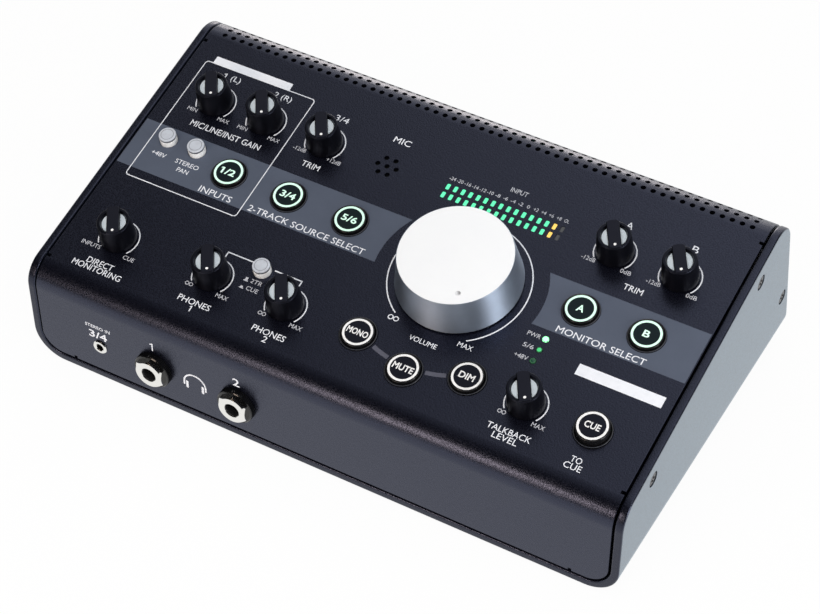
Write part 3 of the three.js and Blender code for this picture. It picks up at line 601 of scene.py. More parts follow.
def oblong(left: float, low: float, right: float, high: float, radius: float = 0.0, steps: int = 4) -> list[Point]:
    """Gives an upright rectangle, whose corners may be round.

    Args:
        left: X of its left side.
        low: Y of its lower side.
        right: X of its right side.
        high: Y of its upper side.
        radius: radius of its corners.
        steps: number of facets in each round corner.

    Returns:
        The outline's points.
    """
    corners = [(left, low, radius), (right, low, radius), (right, high, radius), (left, high, radius)]
    return filleted(corners, steps=steps)


def linked(name: str, data: bpy.types.ID) -> Piece:
    """Makes an object of its data and links it to the scene.

    Args:
        name: the object's name.
        data: its mesh, curve, camera or light.

    Returns:
        The object.
    """
    made = bpy.data.objects.new(name, data)
    bpy.context.scene.collection.objects.link(made)
    return made


class Form:
    """A piece in the making: closed shapes in a panel's millimetres."""

    def __init__(self, name: str, panel: Panel, *finishes: Finish) -> None:
        """Starts an empty piece.

        Args:
            name: the piece's name.
            panel: the frame that it is drawn in.
            finishes: its finishes, in slot order.
        """
        self.name = name
        self.panel = panel
        self.finishes = finishes
        self.bm = bmesh.new()

    def _join(self, rings: list[list[bmesh.types.BMVert]], finish: int, closed: bool) -> None:
        """Joins rings of equally many points with faces.

        Args:
            rings: the rings, where a pole is one point many times.
            finish: the finish's slot.
            closed: whether the last ring joins the first.
        """
        pairs = list(zip(rings, rings[1:]))
        if closed:
            pairs.append((rings[-1], rings[0]))
        for low, high in pairs:
            for index in range(len(low)):
                after = (index + 1) % len(low)
                corners = dict.fromkeys((low[index], low[after], high[after], high[index]))
                if len(corners) > 2:
                    self.bm.faces.new(tuple(corners)).material_index = finish

    def skin(self, loops: list[list[Corner]], finish: int = 0, closed: bool = False) -> "Form":
        """Skins rings of points, and closes the ends unless the rings do.

        Args:
            loops: the points of each ring.
            finish: the finish's slot.
            closed: whether the last ring joins the first.

        Returns:
            The form itself.
        """
        rings = [[self.bm.verts.new(point) for point in loop] for loop in loops]
        self._join(rings, finish, closed)
        if not closed:
            for ring in (list(reversed(rings[0])), rings[-1]):
                self.bm.faces.new(ring).material_index = finish
        return self

    def prism(self, outline: list[Point], low: float, high: float, finish: int = 0, edge: float = 0.0) -> "Form":
        """Adds an outline drawn out along Z.

        Args:
            outline: the outline's points.
            low: Z of its foot.
            high: Z of its top.
            finish: the finish's slot.
            edge: width of a rounded top edge.

        Returns:
            The form itself.
        """
        before = set(self.bm.faces)
        self.skin([[(x, y, z) for x, y in outline] for z in (low, high)], finish)
        if edge:
            made = [face for face in self.bm.faces if face not in before]
            top = next(face for face in made if all(abs(v.co.z - high) < 1e-6 for v in face.verts))
            bmesh.ops.bevel(
                self.bm, geom=list(top.edges), offset=edge, segments=3, profile=0.5, affect="EDGES",
                clamp_overlap=True,
            )
        return self

    def box(
        self, left: float, low: float, right: float, high: float, foot: float, top: float, radius: float = 0.0,
        steps: int = 4, edge: float = 0.0,
    ) -> "Form":
        """Adds an upright rectangle drawn out along Z.

        Args:
            left: X of its left side.
            low: Y of its lower side.
            right: X of its right side.
            high: Y of its upper side.
            foot: Z of its foot.
            top: Z of its top.
            radius: radius of its corners.
            steps: number of facets in each round corner.
            edge: width of a rounded top edge.

        Returns:
            The form itself.
        """
        return self.prism(oblong(left, low, right, high, radius, steps), foot, top, edge=edge)

    def lathe(
        self, profile: list[Point], at: Point = (0, 0), sides: int = 64, finish: int = 0, ring: bool = False,
    ) -> "Form":
        """Adds a turned shape round Z.

        Args:
            profile: radius and Z of each point, from axis to axis, or of a closed ring.
            at: X and Y of its axis.
            sides: number of facets round it.
            finish: the finish's slot.
            ring: whether the profile closes on itself off the axis.

        Returns:
            The form itself.
        """
        spokes = [(math.cos(2 * math.pi * k / sides), math.sin(2 * math.pi * k / sides)) for k in range(sides)]
        rings: list[list[bmesh.types.BMVert]] = []
        for radius, z in profile:
            if radius < 1e-9:
                rings.append([self.bm.verts.new((*at, z))] * sides)
            else:
                rings.append([self.bm.verts.new((at[0] + radius * c, at[1] + radius * s, z)) for c, s in spokes])
        self._join(rings, finish, ring)
        return self

    def pin(
        self, radius: float, low: float, high: float, at: Point = (0, 0), sides: int = 40, finish: int = 0,
    ) -> "Form":
        """Adds a plain round pin.

        Args:
            radius: its radius.
            low: Z of its foot.
            high: Z of its top.
            at: X and Y of its axis.
            sides: number of facets round it.
            finish: the finish's slot.

        Returns:
            The form itself.
        """
        return self.lathe([(0, low), (radius, low), (radius, high), (0, high)], at, sides, finish)

    def strip(self, inner: list[Point], outer: list[Point], low: float, high: float, closed: bool = False) -> "Form":
        """Adds a flat strip between two lines of equally many points.

        Args:
            inner: points of one side.
            outer: points of the other side.
            low: Z of its foot.
            high: Z of its top.
            closed: whether the strip joins its own start.

        Returns:
            The form itself.
        """
        sections = [[(*near, low), (*far, low), (*far, high), (*near, high)] for near, far in zip(inner, outer)]
        return self.skin(sections, 0, closed)

    def made(self, matrix: Matrix) -> Piece:
        """Merges doubled points, turns the faces outwards and makes the object.

        Args:
            matrix: what its points are moved by.

        Returns:
            The object.
        """
        bmesh.ops.remove_doubles(self.bm, verts=self.bm.verts, dist=1e-5)
        bmesh.ops.recalc_face_normals(self.bm, faces=self.bm.faces)
        self.bm.transform(matrix)
        mesh = bpy.data.meshes.new(self.name)
        self.bm.to_mesh(mesh)
        self.bm.free()
        return linked(self.name, mesh)

    def object(self, turn: float = 0.0, at: Point = (0, 0)) -> Piece:
        """Makes the dressed object, at the origin, with its place in its mesh.

        Args:
            turn: turn about the panel's Z before it is placed.
            at: X and Y on the panel.

        Returns:
            The object.
        """
        place = Matrix.Translation((*at, 0)) @ Matrix.Rotation(turn, 4, "Z")
        piece = self.made(METRES @ self.panel.matrix @ place)
        for finish in self.finishes:
            piece.data.materials.append(finish.material())
        return piece

    def unit(self, scale: float = 1.0) -> Piece:
        """Makes the plain object about its own origin, for a repeat."""
        return self.made(Matrix.Diagonal((scale, scale, scale, 1)))


def bake(piece: Piece) -> None:
    """Turns a piece's modifiers into its mesh.

    Args:
        piece: the piece.
    """
    graph = bpy.context.evaluated_depsgraph_get()
    graph.update()
    mesh = bpy.data.meshes.new_from_object(piece.evaluated_get(graph))
    piece.modifiers.clear()
    piece.data = mesh
    mesh.name = piece.name


def carve(piece: Piece, *tools: Piece, operation: str = "DIFFERENCE") -> None:
    """Cuts, joins or intersects a piece with tools, which are then removed.

    Args:
        piece: the piece that changes.
        tools: the objects that it is combined with.
        operation: DIFFERENCE, UNION or INTERSECT.
    """
    for tool in tools:
        step = piece.modifiers.new("carve", "BOOLEAN")
        step.operation = operation
        step.solver = "MANIFOLD"
        step.object = tool
    bake(piece)
    for tool in tools:
        bpy.data.objects.remove(tool)


def smooth(piece: Piece) -> Piece:
    """Shades a piece smooth between its sharp edges, while large flat faces keep their own direction.

    Args:
        piece: the piece.

    Returns:
        The piece.
    """
    piece.data.shade_smooth()
    piece.data.set_sharp_from_angle(angle=SHARP)
    step = piece.modifiers.new("weighted", "WEIGHTED_NORMAL")
    step.keep_sharp = True
    step.weight = 80
    bake(piece)
    return piece


def settle(piece: Piece, slot: Slot, *nodes: str, body: str = "housing") -> None:
    """Parents a piece to the body that it rides on, hides the nodes that it stands for and logs it.

    Args:
        piece: the piece.
        slot: the record's material slot; not used.
        nodes: the nodes that it replaces.
        body: the body that it rides on.
    """
    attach(piece, body)
    if nodes:
        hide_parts(*nodes)
    LOG.info("%s rides on %s", piece.name, body)


# Repeats, made with Geometry Nodes


class Repeats:
    """Trees that set a unit in rows and columns, or on marked places."""

    @staticmethod
    def _start(name: str, **inputs: str) -> tuple[Wires, dict[str, Socket], Socket]:
        """Starts a tree.

        Args:
            name: its name.
            inputs: the kind of each further input, whose name has its words joined by underscores.

        Returns:
            The tree, its inputs and the unit's geometry.
        """
        wires = Wires(bpy.data.node_groups.new(name, "GeometryNodeTree"))
        sockets = wires.tree.interface
        for label, kind in {"geometry": "Geometry", "unit": "Object", "finish": "Material", **inputs}.items():
            sockets.new_socket(label, in_out="INPUT", socket_type=f"NodeSocket{kind}")
        sockets.new_socket("geometry", in_out="OUTPUT", socket_type="NodeSocketGeometry")
        given = {item.name: item for item in wires.add("NodeGroupInput").outputs}
        unit = wires.add("GeometryNodeObjectInfo", {"Object": given["unit"]})
        return wires, given, unit.outputs["Geometry"]

    @staticmethod
    def _end(wires: Wires, points: Socket, unit: Socket, euler: Socket, finish: Socket) -> bpy.types.NodeTree:
        """Ends a tree in turned copies on points, Realize Instances and Set Material.

        Args:
            wires: the tree.
            points: the points.
            unit: what is set on them.
            euler: its angles at each point.
            finish: its material.

        Returns:
            The tree.
        """
        spin = wires.add("FunctionNodeEulerToRotation", {"Euler": euler})
        laid = wires.add("GeometryNodeInstanceOnPoints", {
            "Points": points, "Instance": unit, "Rotation": spin.outputs["Rotation"],
        })
        real = wires.add("GeometryNodeRealizeInstances", {"Geometry": laid.outputs["Instances"]})
        dress = wires.add("GeometryNodeSetMaterial", {"Geometry": real.outputs["Geometry"], "Material": finish})
        wires.add("NodeGroupOutput", {"geometry": dress.outputs["Geometry"]})
        return wires.tree

    @classmethod
    @cache
    def grid_tree(cls) -> bpy.types.NodeTree:
        """Makes the tree for rows and columns, where each row may turn about X, once."""
        wires, given, unit = cls._start(
            "rows_and_columns", columns="Int", column_step="Vector", first_column="Vector", rows="Int",
            row_step="Vector", first_row="Vector", row_turn="Float", first_turn="Float",
        )
        columns = wires.add("GeometryNodeMeshLine", {
            "Count": given["columns"], "Start Location": given["first_column"], "Offset": given["column_step"],
        })
        along = wires.add("GeometryNodeInstanceOnPoints", {"Points": columns.outputs["Mesh"], "Instance": unit})
        one_row = wires.add("GeometryNodeRealizeInstances", {"Geometry": along.outputs["Instances"]})
        rows = wires.add("GeometryNodeMeshLine", {
            "Count": given["rows"], "Start Location": given["first_row"], "Offset": given["row_step"],
        })
        index = wires.add("GeometryNodeInputIndex")
        turned = wires.add("ShaderNodeMath", {
            0: index.outputs["Index"], 1: given["row_turn"], 2: given["first_turn"],
        }, operation="MULTIPLY_ADD")
        euler = wires.add("ShaderNodeCombineXYZ", {"X": turned.outputs["Value"]})
        return cls._end(
            wires, rows.outputs["Mesh"], one_row.outputs["Geometry"], euler.outputs["Vector"], given["finish"],
        )

    @classmethod
    @cache
    def place_tree(cls) -> bpy.types.NodeTree:
        """Makes the tree that sets the unit on each vertex, turned by the vertex's own angles, once."""
        wires, given, unit = cls._start("on_places")
        angles = wires.add("GeometryNodeInputNamedAttribute", {"Name": "turn"}, data_type="FLOAT_VECTOR")
        return cls._end(wires, given["geometry"], unit, angles.outputs["Attribute"], given["finish"])

    @staticmethod
    def _run(carrier: Piece, tree: bpy.types.NodeTree, values: dict[str, object]) -> None:
        """Runs a tree on a carrier and bakes the result.

        Args:
            carrier: the object that carries the tree.
            tree: the tree.
            values: values of its named inputs.
        """
        step = carrier.modifiers.new("repeat", "NODES")
        step.node_group = tree
        known = {item.name: item.identifier for item in tree.interface.items_tree if item.in_out == "INPUT"}
        for label, value in values.items():
            step[known[label]] = value
        bake(carrier)
        bpy.data.objects.remove(values["unit"])

    @classmethod
    def grid(cls, name: str, unit: Piece, finish: Finish, panel: Panel, **values: object) -> Piece:
        """Sets a unit in rows and columns on a panel.

        Args:
            name: the piece's name.
            unit: the unit, in the panel's millimetres, which is then removed.
            finish: the finish of every copy.
            panel: the frame that the steps are given in.
            values: the tree's other named inputs.

        Returns:
            The piece.
        """
        carrier = linked(name, bpy.data.meshes.new(name))
        cls._run(carrier, cls.grid_tree(), {"unit": unit, "finish": finish.material(), **values})
        carrier.data.transform(METRES @ panel.matrix)
        return carrier

    @classmethod
    def on_places(cls, name: str, unit: Piece, finish: Finish, places: list[tuple[Vector, Vector]]) -> Piece:
        """Sets a unit on places.

        Args:
            name: the piece's name.
            unit: the unit, in metres about the origin, which is then removed.
            finish: the finish of every copy.
            places: position in metres and Euler angles of each copy.

        Returns:
            The piece.
        """
        mesh = bpy.data.meshes.new(name)
        mesh.from_pydata([place for place, _ in places], [], [])
        turns = mesh.attributes.new("turn", "FLOAT_VECTOR", "POINT")
        for index, (_, angles) in enumerate(places):
            turns.data[index].vector = angles
        carrier = linked(name, mesh)
        cls._run(carrier, cls.place_tree(), {"unit": unit, "finish": finish.material()})
        return carrier


def meter_grid(name: str, unit: Piece, finish: Finish, start: int, count: int) -> Piece:
    """Sets a unit on some columns of the level meter, in both rows.

    Args:
        name: the piece's name.
        unit: the unit, in the panel's millimetres, which is then removed.
        finish: the finish of every copy.
        start: number of the first column.
        count: number of columns.

    Returns:
        The piece.
    """
    step, drop = LAYOUT.meter_step
    return Repeats.grid(
        name, unit, finish, TOP, columns=count, column_step=(step, 0.0, 0.0),
        first_column=(LAYOUT.meter[0] + start * step, 0.0, 0.0), rows=2, row_step=(0.0, drop, 0.0),
        first_row=(0.0, LAYOUT.meter[1], 0.0),
    )


# Housing


@dataclass
class Housing:
    """The outer wrap, the inner sheet, the screws and the feet."""

    bend_steps: int = 20
    corner_steps: int = 14
    edge: float = 0.35
    wrap_edge: float = 0.9
    side_facing: float = 0.8
    seam: float = 0.65
    beyond: float = 5.0
    cut: Point = (-4.0, 2.0)
    notch: float = 1.6
    notch_reach: float = 1.9
    side_notches: Point = (10.0, 142.7)
    low_notches: Point = (-124.0, 122.4)
    flange: Point = (11.6, 142.7)
    low_flanges: tuple[Point, Point] = ((0.8, 12.0), (162.8, 174.8))
    low_flange_half: float = 122.4
    vent_pitch: float = 4.65
    vent_columns: int = 58
    vent_rows: int = 3
    vent_radius: float = 1.25
    vent_turn: float = 4.65
    vent_first: float = 2.5
    microphone_step: float = 4.65
    meter_slot: Point = (0.92, 1.62)
    screw_radius: float = 3.3
    foot_place: Point = (119.0, 22.0)

    def outline(self, inset: float, bottom: float) -> list[Point]:
        """Gives the side outline in Y and Z, drawn in from the outer face.

        Args:
            inset: distance in from the outer face.
            bottom: height of the lower edge.

        Returns:
            The outline's points.
        """
        rise, lean = math.tan(SIZES.slope), math.tan(SIZES.lean)
        drop = inset / math.cos(SIZES.slope)
        back = inset / math.cos(SIZES.lean)
        front_z = SIZES.front_height + inset * rise - drop
        rear_y = (SIZES.bottom_depth - back - lean * (SIZES.front_height - drop)) / (1 + lean * rise)
        rear_z = SIZES.front_height - drop + rear_y * rise
        return filleted([
            (inset, bottom, 0),
            (SIZES.bottom_depth - back - bottom * lean, bottom, 0),
            (rear_y, rear_z, SIZES.rear_bend - inset),
            (inset, front_z, SIZES.front_bend - inset),
        ], steps=self.bend_steps)

    def side_block(
        self, name: str, inset: float, half: float, bottom: float, finish: Finish, edge: float = 0.0,
    ) -> Piece:
        """Makes the side outline drawn out across the unit.

        Args:
            name: the object's name.
            inset: distance in from the outer face.
            half: half of its width.
            bottom: height of the lower edge.
            finish: its finish.
            edge: rounding of its long edges.

        Returns:
            The object.
        """
        steps = [(half, edge), (half - edge * 0.3, edge * 0.3), (half - edge, 0.0)] if edge else [(half, 0.0)]
        sections = [(-x, inset + more) for x, more in steps]
        sections += [(x, inset + more) for x, more in reversed(steps)]
        form = Form(name, HOUSING, finish)
        form.skin([[(x, y, z) for y, z in self.outline(depth, bottom)] for x, depth in sections])
        return form.object()

    def bucket(self, half: float, bottom: float, radius: float, finish: Finish) -> Piece:
        """Makes a round-bottomed block, drawn from the front, that runs right through the unit.

        Args:
            half: half of its width.
            bottom: height of its lower edge.
            radius: radius of its lower corners.
            finish: its finish.

        Returns:
            The object.
        """
        high = SIZES.rear_top[1] + self.beyond
        outline = filleted([
            (-half, bottom, radius), (half, bottom, radius), (half, high, 0), (-half, high, 0),
        ], steps=self.corner_steps)
        form = Form("bucket", HOUSING, finish)
        form.skin([[(x, y, z) for x, z in outline] for y in (-self.beyond, SIZES.bottom_depth + self.beyond)])
        return form.object()

    def screw_places(self) -> list[tuple[Vector, Vector]]:
        """Gives the position in metres and the turn of each side screw."""
        top, rear = TOP.matrix, REAR.matrix
        points = [
            top @ Vector((0, 26.1, -9.6)), top @ Vector((0, SIZES.top_length - 31.4, -9.6)),
            rear @ Vector((0, 35.6, -6.7)),
        ]
        return [
            (Vector((side * SIZES.half, point.y, point.z)) * MM, Vector((0, side * math.pi / 2, 0)))
            for side in (-1, 1) for point in points
        ]

    def wrap(self) -> None:
        """Makes the outer wrap with its countersinks, whose side faces carry painted sheen and whose front-facing faces
        carry painted shade.
        """
        wrap = self.side_block("wrap", 0.0, SIZES.half, 0.0, WRAP_PAINT_PAINTED_SHEEN)
        wall, bend = SIZES.wrap_wall, SIZES.wrap_bend
        carve(wrap, self.bucket(SIZES.half, 0.0, bend, WRAP_PAINT_PAINTED_SHEEN), operation="INTERSECT")
        carve(wrap, self.bucket(SIZES.half - wall, wall, bend - wall, WRAP_PAINT_PAINTED_SHEEN))
        step = wrap.modifiers.new("edge", "BEVEL")
        step.width = self.wrap_edge * MM
        step.segments = 3
        step.limit_method = "ANGLE"
        step.angle_limit = math.radians(40)
        bake(wrap)
        # The wrap's faces are split by the way they face: the sides keep the glossier coat as painted sheen, the
        # front-facing faces take the duller copy as painted shade, and the rest the plain black paint.
        for finish in (PAINT, RIM_PAINT_PAINTED_SHADE):
            wrap.data.materials.append(finish.material())
        for face in wrap.data.polygons:
            if abs(face.normal.x) > self.side_facing:
                face.material_index = 0
            else:
                face.material_index = 2 if face.normal.y < -self.side_facing else 1
        sink = Form("sink", HOUSING).lathe([
            (0, -5), (1.8, -5), (1.8, -2.2), (3.55, -0.8), (3.55, -0.25), (3.8, 0.4), (0, 0.4),
        ], sides=32)
        carve(wrap, Repeats.on_places("sinks", sink.unit(MM), WRAP_PAINT_PAINTED_SHEEN, self.screw_places()))
        settle(smooth(wrap), Slot.BLACK_PAINT, "outer_wrap")

    def vents(self) -> Piece:
        """Makes the cutter for the rows of vent holes round the rear bend."""
        radius = SIZES.rear_bend
        pin = Form("pin", TOP).pin(self.vent_radius, radius - 4, radius + 2, sides=20)
        centre = SIZES.top_length - radius * math.tan(SIZES.bend_turn / 2)
        return Repeats.grid(
            "vents", pin.unit(), PAINT, TOP, columns=self.vent_columns,
            column_step=(self.vent_pitch, 0.0, 0.0),
            first_column=(-(self.vent_columns - 1) * self.vent_pitch / 2, 0.0, 0.0), rows=self.vent_rows,
            row_step=(0.0, 0.0, 0.0), first_row=(0.0, centre, -radius), row_turn=-self.vent_turn / radius,
            first_turn=-self.vent_first / radius,
        )

    def notches(self) -> Piece:
        """Makes the cutter for the bend-relief notches on the top panel's sides."""
        form = Form("notches", TOP, PAINT)
        for side in (-1, 1):
            inner, outer = side * (SIZES.sheet_half - self.notch_reach), side * (SIZES.sheet_half + 2)
            for start in self.side_notches:
                form.box(min(inner, outer), start, max(inner, outer), start + self.notch, -6, 2)
        return form.object()

    def front_notches(self) -> Piece:
        """Makes the cutter for the relief notches on the front's lower edge."""
        form = Form("low_notches", FRONT, PAINT)
        for x in self.low_notches:
            form.box(x, 2, x + self.notch, SIZES.sheet_bottom + self.notch_reach, *self.cut)
        return form.object()

    def holes(self, name: str, panel: Panel, rows: dict[float, list[Point]]) -> Form:
        """Starts a cutter with its round holes.

        Args:
            name: the cutter's name.
            panel: the panel that it cuts.
            rows: the places of the holes of each radius.

        Returns:
            The cutter's form.
        """
        form = Form(name, panel, PAINT)
        for radius, places in rows.items():
            for place in places:
                form.pin(radius, *self.cut, at=place, sides=48 if radius > 10 else 40)
        return form

    def top_holes(self) -> Piece:
        """Makes the cutter for the round holes of the top panel."""
        x, y = LAYOUT.microphone
        turns = [k * math.pi / 3 for k in range(6)]
        step = self.microphone_step
        return self.holes("top_holes", TOP, {
            4.2: LAYOUT.knobs.values(), 8.6: LAYOUT.lit.values(), 4.25: LAYOUT.plain.values(),
            5.0: [LAYOUT.volume], 1.55: LAYOUT.status_lights,
            1.2: [(x, y), *[(x + step * math.cos(turn), y + step * math.sin(turn)) for turn in turns]],
        }).object()

    def meter_slots(self) -> Piece:
        """Makes the cutter for the level meter's slots."""
        x, y = self.meter_slot
        unit = Form("slot", TOP).box(-x, -y, x, y, *self.cut, radius=0.5).unit()
        return meter_grid("slots", unit, PAINT, 0, 16)

    def rear_holes(self) -> Piece:
        """Makes the cutter for the rear sockets."""
        row = SOCKETS.row
        form = self.holes("rear_holes", REAR, {
            12.3: [(x, row) for x in SOCKETS.combined], 5.9: SOCKETS.rows((*SOCKETS.inputs, *SOCKETS.outputs)),
            5.7: [(SOCKETS.inlet, row)],
        })
        for x, wide, high in ((SOCKETS.usb, 6.3, 5.7), (SOCKETS.power, 4.5, 4.5)):
            form.box(x - wide, row - high, x + wide, row + high, *self.cut)
        return form.object()

    def sheet(self) -> None:
        """Makes the inner sheet with its holes, notches and vents."""
        half, bottom, wall = SIZES.sheet_half, SIZES.sheet_bottom, SIZES.sheet_wall
        sheet = self.side_block("panel_sheet", 0.0, half, 0.0, PAINT, edge=self.edge)
        hollow = self.side_block("hollow", wall, half + 3, -3.0, PAINT)
        rim = self.bucket(half, bottom + self.seam, SIZES.wrap_bend - bottom, PAINT)
        carve(sheet, hollow)
        carve(sheet, rim, operation="INTERSECT")
        flanges = Form("flanges", TOP, PAINT)
        low, high = self.flange
        for near, far in ((0.05 - half, wall - half), (half - wall, half - 0.05)):
            flanges.box(near, low, far, high, -16, -0.9)
        carve(sheet, flanges.object(), operation="UNION")
        feet = Form("bottom_flanges", HOUSING, PAINT)
        for low, high in self.low_flanges:
            feet.box(-self.low_flange_half, low, self.low_flange_half, high, bottom, bottom + wall)
        carve(sheet, feet.object(), operation="UNION")
        front_holes = self.holes("front_holes", FRONT, {3.3: [SOCKETS.mini], 4.9: SOCKETS.phones})
        for tool in (
            self.notches(), self.front_notches(), self.top_holes(), self.meter_slots(), front_holes.object(),
            self.rear_holes(), self.vents(),
        ):
            carve(sheet, tool)
        settle(smooth(sheet), Slot.BLACK_PAINT, "inner_sheet")

    def screws(self) -> None:
        """Makes the six cross-head side screws."""
        rim = self.screw_radius
        form = Form("screw", HOUSING).lathe([
            (0, -9), (1.5, -9), (1.5, -2.1), (rim, -0.75), (rim, -0.45), (rim - 0.6, -0.25), (1.5, -0.2),
            (0, -0.2),
        ], sides=40)
        unit = form.unit(MM)
        cross = Form("cross", HOUSING)
        for x, y in ((1.8, 0.4), (0.4, 1.8)):
            cross.box(-x, -y, x, y, -1.3, 1)
        carve(unit, cross.unit(MM))
        screws = Repeats.on_places("side_screws", unit, SCREW_BLACK, self.screw_places())
        ends = ("front", "rear_upper", "rear_lower")
        names = [f"screw_{side}_{end}" for side in ("left", "right") for end in ends]
        settle(smooth(screws), Slot.SCREW_STEEL, *names)

    def feet(self) -> None:
        """Makes the four rubber feet."""
        profile = filleted([(0, -3, 0), (6.6, -3, 0.6), (7, 0, 0.2), (0, 0, 0)], closed=False, steps=4)
        unit = Form("foot", HOUSING).lathe(profile, sides=48).unit(MM)
        x, y = self.foot_place
        places = [
            (Vector((across, along + SIZES.shift, SIZES.foot_height)) * MM, Vector((0, 0, 0)))
            for across in (-x, x) for along in (y, SIZES.bottom_depth - y)
        ]
        feet = Repeats.on_places("rubber_feet", unit, RUBBER, places)
        names = [f"foot_{side}_{end}" for side in ("left", "right") for end in ("front", "rear")]
        settle(smooth(feet), Slot.FOOT_RUBBER, *names)

    def build(self) -> None:
        """Makes the whole housing."""
        self.wrap()
        self.sheet()
        self.screws()
        self.feet()


# Print on the panels


@dataclass(frozen=True)
class Mark:
    """A short plain mark: its text, its centre, its height and its width."""

    text: str
    x: float
    y: float
    height: float
    width: float


def lettering(
    name: str, panel: Panel, marks: list[Mark], span: Point, finish: Finish, weight: float = 0.0,
    slot: Slot = Slot.GREY_PLASTIC, body: str = "housing",
) -> None:
    """Makes plain marks as thin solids.

    Args:
        name: the piece's name.
        panel: the panel that they lie on.
        marks: the marks.
        span: Z of their foot and of their top.
        finish: their ink.
        weight: how much bolder than the plain letters, as a part of their size.
        slot: the record's material slot.
        body: the body that they ride on.
    """
    low, high = span
    form = Form(name, panel, finish)
    for mark in marks:
        curve = bpy.data.curves.new("mark", "FONT")
        curve.body = mark.text
        curve.size = 1.0
        curve.bevel_depth = weight
        curve.bevel_resolution = 0
        curve.resolution_u = 3
        curve.extrude = 0.5
        holder = linked("mark", curve)
        graph = bpy.context.evaluated_depsgraph_get()
        mesh = bpy.data.meshes.new_from_object(holder.evaluated_get(graph))
        xs, ys = ([vertex.co[axis] for vertex in mesh.vertices] for axis in (0, 1))
        wide, tall = mark.width / (max(xs) - min(xs)), mark.height / (max(ys) - min(ys))
        centre = Matrix.Translation((-(max(xs) + min(xs)) / 2, -(max(ys) + min(ys)) / 2, 0))
        size = Matrix.Diagonal((wide, tall, high - low, 1))
        mesh.transform(Matrix.Translation((mark.x, mark.y, (high + low) / 2)) @ size @ centre)
        form.bm.from_mesh(mesh)
        if mark.text.startswith("1"):
            x, y, tall = mark.x - mark.width / 2, mark.y + mark.height / 2, mark.height
            flag = ((0.04, 0), (-0.24, -0.17), (-0.2, -0.26), (0.04, -0.13))
            form.prism([(x + across * tall, y + up * tall) for across, up in flag], low, high)
        bpy.data.objects.remove(holder)
        bpy.data.meshes.remove(mesh)
    for face in form.bm.faces:
        face.material_index = 0
    settle(form.object(), slot, body=body)


def marked(*rows: tuple[str, float, float, float, float]) -> list[Mark]:
    """Turns rows of text, X, Y, height and width into marks."""
    return [Mark(*row) for row in rows]


